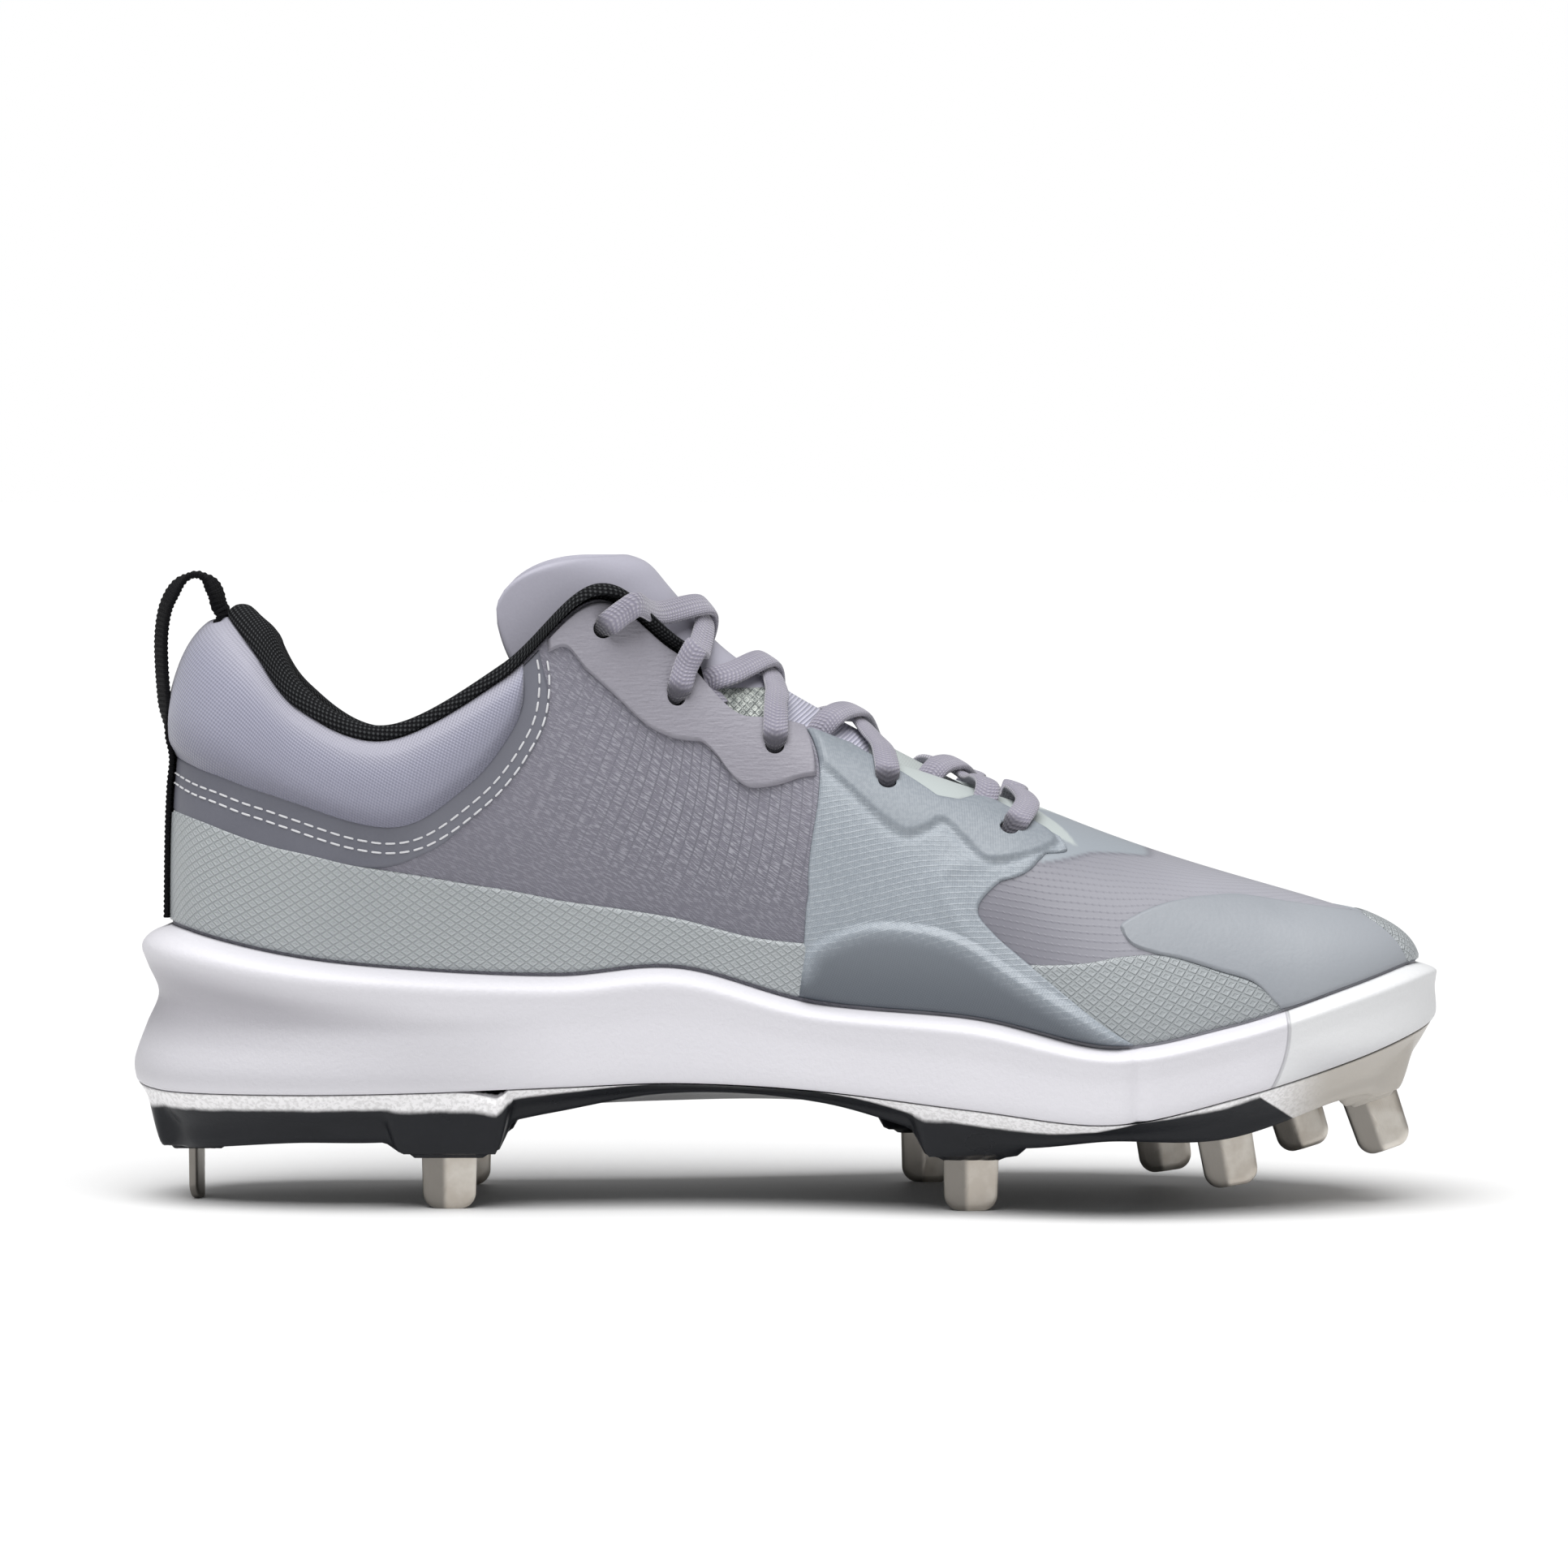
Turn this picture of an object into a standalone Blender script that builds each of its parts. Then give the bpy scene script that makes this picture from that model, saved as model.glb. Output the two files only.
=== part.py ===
"""Left baseball cleat with nine metal blades, as an assembly of its real pieces.

The shoe points along +X and stands on its studs on the floor, z = 0. Its medial side, the side of the big toe,
is -Y. Heights above the studs, lengths and widths are shares of the driving sizes below.
"""
import math

import bmesh
import bpy
import numpy as np
from mathutils import Matrix, Vector

# Driving sizes, in metres
LENGTH = 0.300
BALL_WIDTH = 0.104
STUD_DROP = 0.012
SOLE_THICKNESS = 0.0517
HEEL_RISE = 0.0708
INSTEP_RISE = 0.0758
WALL = 0.002
CLEARANCE = 0.0003
RIM_INSET = 0.0085
PLATE_INSET = 0.009
PLATE_DISH = 0.0025
FOOT_INSET = 0.001
INSOLE_THICKNESS = 0.0045
FILM = 0.0009
FILM_LIFT = 0.0006
LINING_PAD = 0.0055
COLLAR_ROLL = 0.0045
TONGUE_PAD = 0.008
EYELET_DIAMETER = 0.0044
LACE_WIDTH = 0.0062
LACE_THICKNESS = 0.0024
BOSS_HEIGHT = 0.0078
BOSS_TAPER = 0.80
BOSS_ROUND = 0.0016
BLADE_WIDTH = 0.0127
BLADE_THICKNESS = 0.002
BLADE_LENGTH = 0.0117
BLADE_CORNER = 0.0026
BLADE_BEND = 0.10
STRAP_WIDTH = 0.010
STRAP_THICKNESS = 0.0015

HALF_BALL = BALL_WIDTH / 2
SOLE_TOP = STUD_DROP + SOLE_THICKNESS
EYELET_DEPTH = 5 * WALL
LINING_BACK = WALL + 2.5 * CLEARANCE
LINING_SEAT = 3 * CLEARANCE
STRAP_LIFT = 1.4 * CLEARANCE + STRAP_THICKNESS / 2
LACE_OVER_UPPER = FILM_LIFT + FILM + 2.5 * CLEARANCE + LACE_THICKNESS / 2
LACE_OVER_TONGUE = 4 * CLEARANCE + LACE_THICKNESS / 2
LACE_HUMP = 0.75 * LACE_THICKNESS

# How finely the surfaces are cut. Stations and rows of an overlay are never closer than the last two.
FINE_STATIONS = (0, 1, 4, 5, 9, 10, 11)
FINE_STEPS = 3
PLAIN_STEPS = 2
RIB_ROWS = 9
CLOSEST_STATIONS = 0.08
CLOSEST_ROWS = 0.03

# The sole, station by station around the shoe: heel, medial side, toe, lateral side.
# along: share of LENGTH from the heel. across: share of half the ball width, medial negative.
# bite, foam, plate, floor: heights of the rim, the foam's underside, the plate's underside and the footbed,
# as shares of SOLE_THICKNESS above the studs.
SOLE_COLUMNS = ("along", "across", "bite", "foam", "plate", "floor")
SOLE_STATIONS = {
    "heel_back":            (0.000,  0.000, 1.000, 0.300, 0.020, 0.690),
    "heel_corner_medial":   (0.030, -0.420, 0.980, 0.285, 0.020, 0.690),
    "heel_medial":          (0.120, -0.645, 0.890, 0.290, 0.060, 0.680),
    "heel_front_medial":    (0.220, -0.670, 0.835, 0.300, 0.075, 0.665),
    "waist_rear_medial":    (0.330, -0.610, 0.805, 0.320, 0.195, 0.650),
    "waist_medial":         (0.420, -0.570, 0.835, 0.335, 0.275, 0.600),
    "waist_front_medial":   (0.520, -0.640, 0.685, 0.310, 0.240, 0.500),
    "ball_rear_medial":     (0.640, -0.860, 0.635, 0.245, 0.070, 0.415),
    "ball_medial":          (0.745, -1.000, 0.520, 0.195, 0.105, 0.385),
    "fore_medial":          (0.840, -0.905, 0.605, 0.300, 0.105, 0.445),
    "toe_medial":           (0.930, -0.730, 0.755, 0.450, 0.250, 0.570),
    "toe_corner_medial":    (0.984, -0.470, 0.840, 0.560, 0.290, 0.665),
    "toe_tip":              (1.000, -0.130, 0.835, 0.605, 0.280, 0.675),
    "toe_corner_lateral":   (0.978,  0.240, 0.820, 0.560, 0.290, 0.665),
    "toe_lateral":          (0.910,  0.570, 0.735, 0.425, 0.220, 0.550),
    "fore_lateral":         (0.820,  0.830, 0.650, 0.300, 0.105, 0.435),
    "ball_lateral":         (0.710,  0.970, 0.600, 0.225, 0.070, 0.405),
    "ball_rear_lateral":    (0.600,  0.970, 0.610, 0.240, 0.070, 0.425),
    "waist_front_lateral":  (0.500,  0.850, 0.680, 0.290, 0.135, 0.500),
    "waist_lateral":        (0.400,  0.750, 0.765, 0.320, 0.140, 0.600),
    "heel_front_lateral":   (0.300,  0.710, 0.790, 0.305, 0.115, 0.655),
    "heel_side_lateral":    (0.200,  0.690, 0.830, 0.295, 0.075, 0.670),
    "heel_lateral":         (0.110,  0.635, 0.900, 0.290, 0.060, 0.680),
    "heel_corner_lateral":  (0.030,  0.420, 0.975, 0.285, 0.020, 0.690),
}

# The upper's ribs, each a Bezier curve from the rim to the opening, on the same stations.
# along, across: the opening's edge. heel, instep: its height above the sole's top, as shares of HEEL_RISE and
# INSTEP_RISE. lean, rise: the lower handle, outwards (share of half the ball width) and up (share of the rib's
# height). pull, bulge, drop: the upper handle, towards the rim (share of the way), outwards and down.
RIB_COLUMNS = ("along", "across", "heel", "instep", "lean", "rise", "pull", "bulge", "drop")
RIB_STATIONS = {
    "heel_back":            (0.075,  0.000, 1.000, 0.000, -0.01, 0.34, 0.00, 0.28, 0.17),
    "heel_corner_medial":   (0.097, -0.290, 0.900, 0.000,  0.03, 0.34, 0.00, 0.20, 0.22),
    "heel_medial":          (0.133, -0.500, 0.720, 0.000,  0.04, 0.35, 0.00, 0.09, 0.30),
    "heel_front_medial":    (0.200, -0.605, 0.625, 0.000,  0.02, 0.35, 0.00, 0.06, 0.35),
    "waist_rear_medial":    (0.287, -0.585, 0.000, 0.765,  0.02, 0.35, 0.00, 0.06, 0.35),
    "waist_medial":         (0.357, -0.480, 0.000, 1.000,  0.04, 0.30, 0.05, 0.10, 0.30),
    "waist_front_medial":   (0.417, -0.345, 0.000, 0.835,  0.03, 0.33, 0.30, 0.10, 0.25),
    "ball_rear_medial":     (0.517, -0.300, 0.000, 0.605,  0.02, 0.33, 0.45, 0.08, 0.17),
    "ball_medial":          (0.617, -0.270, 0.000, 0.460,  0.02, 0.35, 0.50, 0.05, 0.15),
    "fore_medial":          (0.670, -0.210, 0.000, 0.390,  0.01, 0.36, 0.50, 0.03, 0.20),
    "toe_medial":           (0.695, -0.135, 0.000, 0.360,  0.00, 0.38, 0.55, 0.00, 0.40),
    "toe_corner_medial":    (0.703, -0.067, 0.000, 0.344, -0.02, 0.42, 0.59, 0.00, 0.56),
    "toe_tip":              (0.706, -0.020, 0.000, 0.340, -0.03, 0.42, 0.60, 0.00, 0.61),
    "toe_corner_lateral":   (0.703,  0.030, 0.000, 0.343, -0.02, 0.42, 0.59, 0.00, 0.56),
    "toe_lateral":          (0.695,  0.115, 0.000, 0.353,  0.00, 0.38, 0.55, 0.00, 0.40),
    "fore_lateral":         (0.670,  0.210, 0.000, 0.387,  0.01, 0.36, 0.50, 0.03, 0.20),
    "ball_lateral":         (0.610,  0.290, 0.000, 0.453,  0.02, 0.35, 0.50, 0.05, 0.15),
    "ball_rear_lateral":    (0.510,  0.325, 0.000, 0.590,  0.02, 0.33, 0.48, 0.06, 0.17),
    "waist_front_lateral":  (0.413,  0.365, 0.000, 0.810,  0.03, 0.33, 0.35, 0.08, 0.25),
    "waist_lateral":        (0.350,  0.500, 0.000, 0.935,  0.04, 0.30, 0.10, 0.08, 0.30),
    "heel_front_lateral":   (0.280,  0.595, 0.000, 0.710,  0.02, 0.35, 0.00, 0.05, 0.35),
    "heel_side_lateral":    (0.193,  0.605, 0.575, 0.000,  0.02, 0.35, 0.00, 0.06, 0.35),
    "heel_lateral":         (0.130,  0.480, 0.690, 0.000,  0.04, 0.35, 0.00, 0.09, 0.30),
    "heel_corner_lateral":  (0.097,  0.290, 0.873, 0.000,  0.03, 0.34, 0.00, 0.20, 0.22),
}
STATIONS = len(SOLE_STATIONS)
TOE = STATIONS // 2

# The foam's side wall, from its underside to its rim: inset at the heel and along the foot, as shares of
# RIM_INSET, and height as a share from the underside to the rim.
FOAM_WALL = (
    ("underside", 0.10, 0.10, 0.00),
    ("lower_edge", 0.02, 0.03, 0.03),
    ("bulge", 0.00, 0.00, 0.15),
    ("wall", 0.32, 0.02, 0.36),
    ("groove", 0.65, 0.04, 0.56),
    ("over_groove", 0.36, 0.01, 0.74),
    ("lip", 0.20, 0.00, 0.86),
    ("rim_edge", 0.44, 0.19, 0.94),
    ("rim", 1.00, 0.53, 1.00),
)
GROOVE_END = 0.33

# The plate's side wall: inset as a share of PLATE_INSET, and height as a share from its underside to the foam.
PLATE_WALL = (
    ("shoulder", 0.42, 0.66),
    ("side", 0.74, 0.38),
    ("lower_edge", 0.88, 0.12),
    ("underside", 1.02, 0.00),
)

# Studs: along and across at the tip, the tip's height as a share of STUD_DROP, yaw and forward lean in degrees,
# the boss's length and width in blade widths.
STUDS = {
    "rear":         (0.050,  0.00, 0.00, 90.0, 0.0, 2.0, 1.5),
    "heel_medial":  (0.245, -0.45, 0.00, 0.0, 0.0, 2.1, 1.1),
    "heel_lateral": (0.250,  0.47, 0.00, 0.0, 0.0, 2.1, 1.1),
    "ball_medial":  (0.642, -0.54, 0.00, 0.0, 0.0, 1.9, 1.2),
    "ball_lateral": (0.613,  0.58, 0.00, 0.0, 0.0, 1.9, 1.2),
    "fore_medial":  (0.842, -0.50, 0.46, 0.0, 10.0, 1.9, 1.1),
    "fore_lateral": (0.800,  0.48, 0.27, 0.0, 8.0, 1.9, 1.1),
    "toe_medial":   (0.962, -0.30, 1.06, 0.0, 19.0, 1.1, 0.9),
    "toe_lateral":  (0.906,  0.20, 0.86, 0.0, 17.0, 1.1, 0.9),
}


def closed_spline(values, around):
    """Smooth closed curve through one value a station, by the four nearest stations' cubic weights."""
    values = np.asarray(values, float)
    around = np.asarray(around, float)
    base = np.floor(around).astype(int)
    t = around - base
    before, here, after, beyond = (values[(base + shift) % STATIONS] for shift in (-1, 0, 1, 2))
    slope_here = (after - before) / 2
    slope_after = (beyond - here) / 2
    return (here * (2 * t**3 - 3 * t**2 + 1) + slope_here * (t**3 - 2 * t**2 + t)
            + after * (3 * t**2 - 2 * t**3) + slope_after * (t**3 - t**2))


def column(table, names, name, around):
    """One column of a station table, smooth around the shoe."""
    place = names.index(name)
    return closed_spline([row[place] for row in table.values()], around)


def sole(name, around):
    return column(SOLE_STATIONS, SOLE_COLUMNS, name, around)


def rib(name, around):
    return column(RIB_STATIONS, RIB_COLUMNS, name, around)


def plan(around):
    """The sole's widest outline in plan, with x from the middle of the shoe."""
    return np.stack([(sole("along", around) - 0.5) * LENGTH, sole("across", around) * HALF_BALL], axis=-1)


def plan_outward(around):
    """Unit vector in plan, square to the outline and away from the shoe."""
    step = 0.05
    along = plan(np.asarray(around) + step) - plan(np.asarray(around) - step)
    outward = np.stack([along[..., 1], -along[..., 0]], axis=-1)
    return outward / np.linalg.norm(outward, axis=-1, keepdims=True)


def heel_share(around):
    """1 at the heel's back, fading to 0 where the groove in the foam's side ends."""
    t = np.clip(1 - sole("along", around) / GROOVE_END, 0, 1)
    return t * t * (3 - 2 * t)


def sole_height(share):
    return STUD_DROP + share * SOLE_THICKNESS


def ring(around, inset, height):
    """Points around the shoe, a given inset inside the outline and at given heights."""
    flat = plan(around) - plan_outward(around) * np.reshape(inset, (-1, 1))
    return np.column_stack([flat, np.broadcast_to(height, len(flat))])


def rim_inset(around):
    """How far the rim's inner edge, the bite line, lies inside the widest outline."""
    name, heel, fore, height = FOAM_WALL[-1]
    weight = heel_share(around)
    return RIM_INSET * (heel * weight + fore * (1 - weight))


def bite_point(around):
    """The upper's outer surface where it leaves the sole."""
    inset = rim_inset(around) + CLEARANCE
    return ring(around, inset, sole_height(sole("bite", around)))


def opening_height(around):
    return SOLE_TOP + rib("heel", around) * HEEL_RISE + rib("instep", around) * INSTEP_RISE


def opening_point(around):
    """The edge of the collar and throat."""
    return np.column_stack([(rib("along", around) - 0.5) * LENGTH, rib("across", around) * HALF_BALL,
                            opening_height(around)])


def upper_point(around, up):
    """The upper's outer surface: up is 0 at the bite line and 1 at the opening's edge, on a Bezier rib."""
    around = np.atleast_1d(np.asarray(around, float))
    up = np.broadcast_to(np.asarray(up, float), around.shape)[:, None]
    foot = bite_point(around)
    edge = opening_point(around)
    outward = np.column_stack([plan_outward(around), np.zeros(len(around))])
    height = (edge - foot)[:, 2:]
    vertical = np.array([[0.0, 0.0, 1.0]])
    level = (foot - edge) * np.array([1.0, 1.0, 0.0])
    low = (foot + outward * (rib("lean", around) * HALF_BALL)[:, None]
           + vertical * rib("rise", around)[:, None] * height)
    high = (edge + level * rib("pull", around)[:, None] + outward * (rib("bulge", around) * HALF_BALL)[:, None]
            - vertical * rib("drop", around)[:, None] * height)
    return (foot * (1 - up)**3 + 3 * low * up * (1 - up)**2 + 3 * high * up**2 * (1 - up) + edge * up**3)


def upper_frame(around, up):
    """Point, outward normal and upward direction along the rib, from small steps on the surface."""
    around = np.atleast_1d(np.asarray(around, float))
    up = np.broadcast_to(np.asarray(up, float), around.shape)
    step = 0.02
    along = upper_point(around + step, up) - upper_point(around - step, up)
    rising = upper_point(around, up + step) - upper_point(around, up - step)
    normal = np.cross(along, rising)
    normal /= np.linalg.norm(normal, axis=1, keepdims=True)
    rising /= np.linalg.norm(rising, axis=1, keepdims=True)
    return upper_point(around, up), normal, rising


def upper_offset(around, up, outwards):
    """The upper's surface moved outwards by a distance, or inwards by a negative one."""
    point, normal, rising = upper_frame(around, up)
    return point + normal * np.reshape(outwards, (-1, 1))


def blend(low, high, t):
    """Smooth step from low to high as t goes from 0 to 1."""
    t = np.clip(t, 0, 1)
    t = t * t * (3 - 2 * t)
    return low + (high - low) * t


# The tongue, from its front end under the vamp to its top. along and rise: its crest, as shares of LENGTH and,
# above the sole's top, of INSTEP_RISE. swing: the way its wings fall, in degrees back from straight down.
# half and drop: the half width and depth of its arch, as shares of half the ball width. pad: thickness as a share
# of TONGUE_PAD. span: how much of the arch is used, so that the top corners are round.
TONGUE_COLUMNS = ("along", "rise", "swing", "half", "drop", "pad", "span")
TONGUE_ROWS = (
    (0.745, 0.200, 20.0, 0.24, 0.10, 0.30, 0.85),
    (0.670, 0.345, 21.0, 0.34, 0.20, 0.34, 1.00),
    (0.580, 0.490, 25.0, 0.42, 0.32, 0.42, 1.00),
    (0.507, 0.655, 32.0, 0.40, 0.44, 0.55, 1.00),
    (0.453, 0.840, 42.0, 0.37, 0.58, 0.70, 1.00),
    (0.415, 1.010, 56.0, 0.365, 0.68, 0.85, 1.00),
    (0.396, 1.095, 74.0, 0.365, 0.66, 0.95, 0.98),
    (0.376, 1.128, 88.0, 0.36, 0.60, 0.80, 0.84),
)
TONGUE_STEPS = 15
TONGUE_ACROSS = 10
TONGUE_EDGE = 0.35
TONGUE_TOP_EDGE = 0.45

# Eyelets on the medial side from the top down, as places on the upper; the lateral ones mirror them.
EYELETS = ((5.04, 0.91), (5.75, 0.80), (6.46, 0.77), (7.21, 0.78), (8.00, 0.72))

# Laces: each strand runs from a place on one side to a place on the other, over the tongue. A crossing is two
# such strands, mirrored and joined. An end that is None stops at the throat's edge.
# start and end: around and up. The middle pair says where, around, the strand passes each edge of the throat.
LACE_CROSSINGS = {
    "lace_crossing_1": ((5.75, 0.80), 5.75, 18.85, (18.96, 0.91)),
    "lace_crossing_2": ((6.46, 0.77), 6.60, 17.72, None),
    "lace_crossing_3": ((7.21, 0.78), 7.45, 16.93, None),
    "lace_crossing_4": (None, 8.35, 16.08, None),
}
LACE_BAR = ((8.00, 0.72), 8.85, 15.15, (16.00, 0.72))
LACE_ON_TONGUE = (0.28, 0.50, 0.72)
LACE_CREST = 0.50
LACE_STEPS = 13
LACE_SIDES = 6

# Overlays as places on the upper. The first two run along the shoe: around, lower and upper edge. The saddle's
# rows climb the rib instead: up, rear and front edge.
TOE_CAP = (
    (8.45, 0.34, 0.40), (8.60, 0.30, 0.43), (9.00, 0.24, 0.47), (9.25, 0.17, 0.49), (9.40, 0.03, 0.50),
    (9.90, 0.03, 0.53), (11.10, 0.03, 0.52), (12.00, 0.03, 0.42), (12.90, 0.03, 0.52), (14.10, 0.03, 0.53),
    (14.60, 0.03, 0.50), (14.75, 0.17, 0.49), (15.00, 0.24, 0.47), (15.40, 0.30, 0.43), (15.55, 0.34, 0.40),
)
EYESTAY = (
    (4.62, 0.90, 0.97), (4.79, 0.81, 0.97), (5.21, 0.65, 0.97), (5.71, 0.67, 0.97), (5.92, 0.59, 0.97),
    (6.29, 0.62, 0.97), (6.55, 0.68, 0.95), (6.68, 0.72, 0.92),
)
FOXING = (
    (0.40, 0.03, 0.34), (1.50, 0.03, 0.39), (2.33, 0.03, 0.43), (3.00, 0.03, 0.42), (3.60, 0.03, 0.33),
    (4.10, 0.03, 0.24), (4.80, 0.03, 0.16), (5.40, 0.03, 0.14), (5.80, 0.03, 0.16),
)
SADDLE = (
    (0.03, 5.91, 8.16), (0.13, 5.96, 7.79), (0.25, 6.08, 7.40), (0.41, 6.25, 7.30), (0.49, 6.35, 7.50),
    (0.58, 6.46, 7.95), (0.70, 6.70, 8.38), (0.83, 6.88, 8.62), (0.97, 7.02, 8.75),
)
PATCH_COLUMNS = 9

# The collar's lining and rolled edge, on the upper's own ribs from one side of the throat round the heel to the
# other: around, where its lower end lies on the rib, its padding and its roll as shares of LINING_PAD and
# COLLAR_ROLL.
LINING = (
    (0.00, 0.50, 1.00, 1.00), (1.50, 0.50, 1.00, 0.95), (3.00, 0.50, 1.00, 0.70), (4.00, 0.50, 0.80, 0.62),
    (4.80, 0.75, 0.34, 0.46), (5.05, 0.75, 0.22, 0.28), (5.60, 0.75, 0.20, 0.30), (6.34, 0.75, 0.20, 0.34),
)
# The roll's section above the edge: up and out as shares of its roll, and out as a share of its padding.
ROLL_SECTION = ((0.45, 0.10, 0.0), (0.90, -0.25, 0.0), (0.80, -0.80, -0.2))
LINING_TOP_PAD = 0.85
LINING_FOOT_PAD = 0.35

# The free part of the pull loop: along as a share of LENGTH, rise above the sole's top as a share of HEEL_RISE.
LOOP_POINTS = (
    (0.0265, 0.623), (0.0237, 0.716), (0.0215, 0.843), (0.0215, 0.943), (0.0250, 1.030), (0.0330, 1.095),
    (0.0410, 1.126), (0.0490, 1.136), (0.0570, 1.120), (0.0630, 1.080), (0.0655, 1.040),
)
STRAP_FOOT = (0.02, 0.10, 0.20, 0.30, 0.40, 0.48)
STRAP_RETURN = (0.975, 0.90, 0.80, 0.70, 0.64)
STRAP_STEPS = 36

# Colour, roughness and metallic of each material
FINISHES = {
    "upper_mesh": ((0.300, 0.290, 0.345), 0.70, 0.0),
    "lilac_film": ((0.330, 0.310, 0.360), 0.60, 0.0),
    "grey_film": ((0.420, 0.480, 0.500), 0.50, 0.0),
    "tongue_fabric": ((0.400, 0.370, 0.440), 0.80, 0.0),
    "black_knit": ((0.012, 0.012, 0.014), 0.90, 0.0),
    "foam": ((0.870, 0.870, 0.900), 0.45, 0.0),
    "plate_plastic": ((0.012, 0.014, 0.020), 0.30, 0.0),
    "blade_metal": ((0.620, 0.570, 0.500), 0.28, 1.0),
    "insole_fabric": ((0.100, 0.100, 0.110), 0.90, 0.0),
    "lace_weave": ((0.330, 0.310, 0.390), 0.80, 0.0),
}


def clear_scene():
    for item in list(bpy.data.objects):
        bpy.data.objects.remove(item, do_unlink=True)
    for group in list(bpy.data.collections):
        bpy.data.collections.remove(group)


def new_collection(name):
    group = bpy.data.collections.new(name)
    bpy.context.scene.collection.children.link(group)
    return group


def material(name):
    """The Principled material of that name, made once."""
    if name in bpy.data.materials:
        return bpy.data.materials[name]
    colour, roughness, metallic = FINISHES[name]
    made = bpy.data.materials.new(name)
    made.use_nodes = True
    shader = made.node_tree.nodes["Principled BSDF"]
    shader.inputs["Base Color"].default_value = (*colour, 1.0)
    shader.inputs["Roughness"].default_value = roughness
    shader.inputs["Metallic"].default_value = metallic
    return made


def add_mesh(name, points, faces, finish, group):
    """One object from points and faces, shaded smooth except at sharp edges."""
    mesh = bpy.data.meshes.new(name)
    mesh.from_pydata([tuple(map(float, point)) for point in points], [], faces)
    mesh.validate()
    mesh.shade_smooth()
    mesh.set_sharp_from_angle(angle=math.radians(40))
    mesh.materials.append(material(finish))
    item = bpy.data.objects.new(name, mesh)
    group.objects.link(item)
    return item


def as_helper(item):
    """A cutter or a block to be joined, left out of the part itself."""
    item.hide_render = True
    item.display_type = "WIRE"
    return item


def band_faces(rings, count, first=0, closed=True):
    """Quads between successive rings of points."""
    faces = []
    for ring_index in range(rings - 1):
        base = first + ring_index * count
        for place in range(count if closed else count - 1):
            after = (place + 1) % count
            faces.append((base + place, base + after, base + count + after, base + count + place))
    return faces


def ladder(ring_points, first, dish, across, upwards):
    """Cap of a ring that runs around the shoe: rungs from the medial to the lateral side, raised mid-way by dish.

    Returns the extra points inside the ring and the faces. The ring's own points start at index first, and the
    extra points are numbered after a given next index.
    """
    count = len(ring_points)
    half = count // 2
    extra = []
    rungs = []
    next_index = first[1]
    for place in range(1, half):
        near, far = ring_points[place], ring_points[count - place]
        rung = [first[0] + place]
        for step in range(1, across):
            share = step / across
            lift = dish * (1 - (2 * share - 1)**2)
            extra.append(near + (far - near) * share + np.array([0.0, 0.0, lift]))
            rung.append(next_index)
            next_index += 1
        rung.append(first[0] + count - place)
        rungs.append(rung)
    faces = []
    for near_rung, far_rung in zip(rungs[:-1], rungs[1:]):
        for step in range(across):
            faces.append((near_rung[step], far_rung[step], far_rung[step + 1], near_rung[step + 1]))
    heel, toe = first[0], first[0] + half
    for step in range(across):
        faces.append((heel, rungs[0][step], rungs[0][step + 1]))
        faces.append((toe, rungs[-1][step + 1], rungs[-1][step]))
    if not upwards:
        faces = [face[::-1] for face in faces]
    return extra, faces


def ring_solid(name, rings, finish, group, low_dish=0.0, high_dish=0.0, across=2):
    """Closed solid of rings around the shoe, from its underside up, capped with ladders at both ends."""
    count = len(rings[0])
    points = [point for one in rings for point in one]
    faces = band_faces(len(rings), count)
    extra, low_faces = ladder(rings[0], (0, len(points)), low_dish, across, False)
    points += extra
    faces += low_faces
    extra, high_faces = ladder(rings[-1], ((len(rings) - 1) * count, len(points)), high_dish, across, True)
    points += extra
    faces += high_faces
    return add_mesh(name, points, faces, finish, group)


def slab_solid(name, outer, inner, finish, group):
    """Closed solid between an outer and an inner grid of points of the same shape."""
    rows, columns = outer.shape[:2]
    count = rows * columns
    points = list(outer.reshape(-1, 3)) + list(inner.reshape(-1, 3))
    faces = []
    for row in range(rows - 1):
        for place in range(columns - 1):
            corner = row * columns + place
            quad = (corner, corner + 1, corner + columns + 1, corner + columns)
            faces.append(quad)
            faces.append(tuple(index + count for index in quad[::-1]))
    border = ([place for place in range(columns)]
              + [row * columns + columns - 1 for row in range(1, rows)]
              + [(rows - 1) * columns + place for place in range(columns - 2, -1, -1)]
              + [row * columns for row in range(rows - 2, 0, -1)])
    for here, after in zip(border, border[1:] + border[:1]):
        faces.append((after, here, here + count, after + count))
    return add_mesh(name, points, faces, finish, group)


def tube_solid(name, sections, finish, group):
    """Closed solid of successive closed sections, capped flat at both ends."""
    rings, count = sections.shape[:2]
    points = list(sections.reshape(-1, 3))
    faces = band_faces(rings, count)
    faces.append(tuple(range(count - 1, -1, -1)))
    faces.append(tuple(range((rings - 1) * count, rings * count)))
    return add_mesh(name, points, faces, finish, group)


def facing_out(item):
    """Turn all faces of a closed mesh outwards."""
    shape = bmesh.new()
    shape.from_mesh(item.data)
    bmesh.ops.recalc_face_normals(shape, faces=shape.faces)
    shape.to_mesh(item.data)
    shape.free()
    return item


def open_spline(points, places):
    """Smooth open curve through rows of values, by cubic weights of the four nearest rows."""
    points = np.asarray(points, float)
    last = len(points) - 1
    base = np.clip(np.floor(places).astype(int), 0, last - 1)
    t = (places - base)[:, None]
    here, after = points[base], points[base + 1]
    before = np.where((base > 0)[:, None], points[np.maximum(base - 1, 0)], 2 * here - after)
    beyond = np.where((base + 2 <= last)[:, None], points[np.minimum(base + 2, last)], 2 * after - here)
    slope_here = (after - before) / 2
    slope_after = (beyond - here) / 2
    return (here * (2 * t**3 - 3 * t**2 + 1) + slope_here * (t**3 - 2 * t**2 + t)
            + after * (3 * t**2 - 2 * t**3) + slope_after * (t**3 - t**2))


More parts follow.
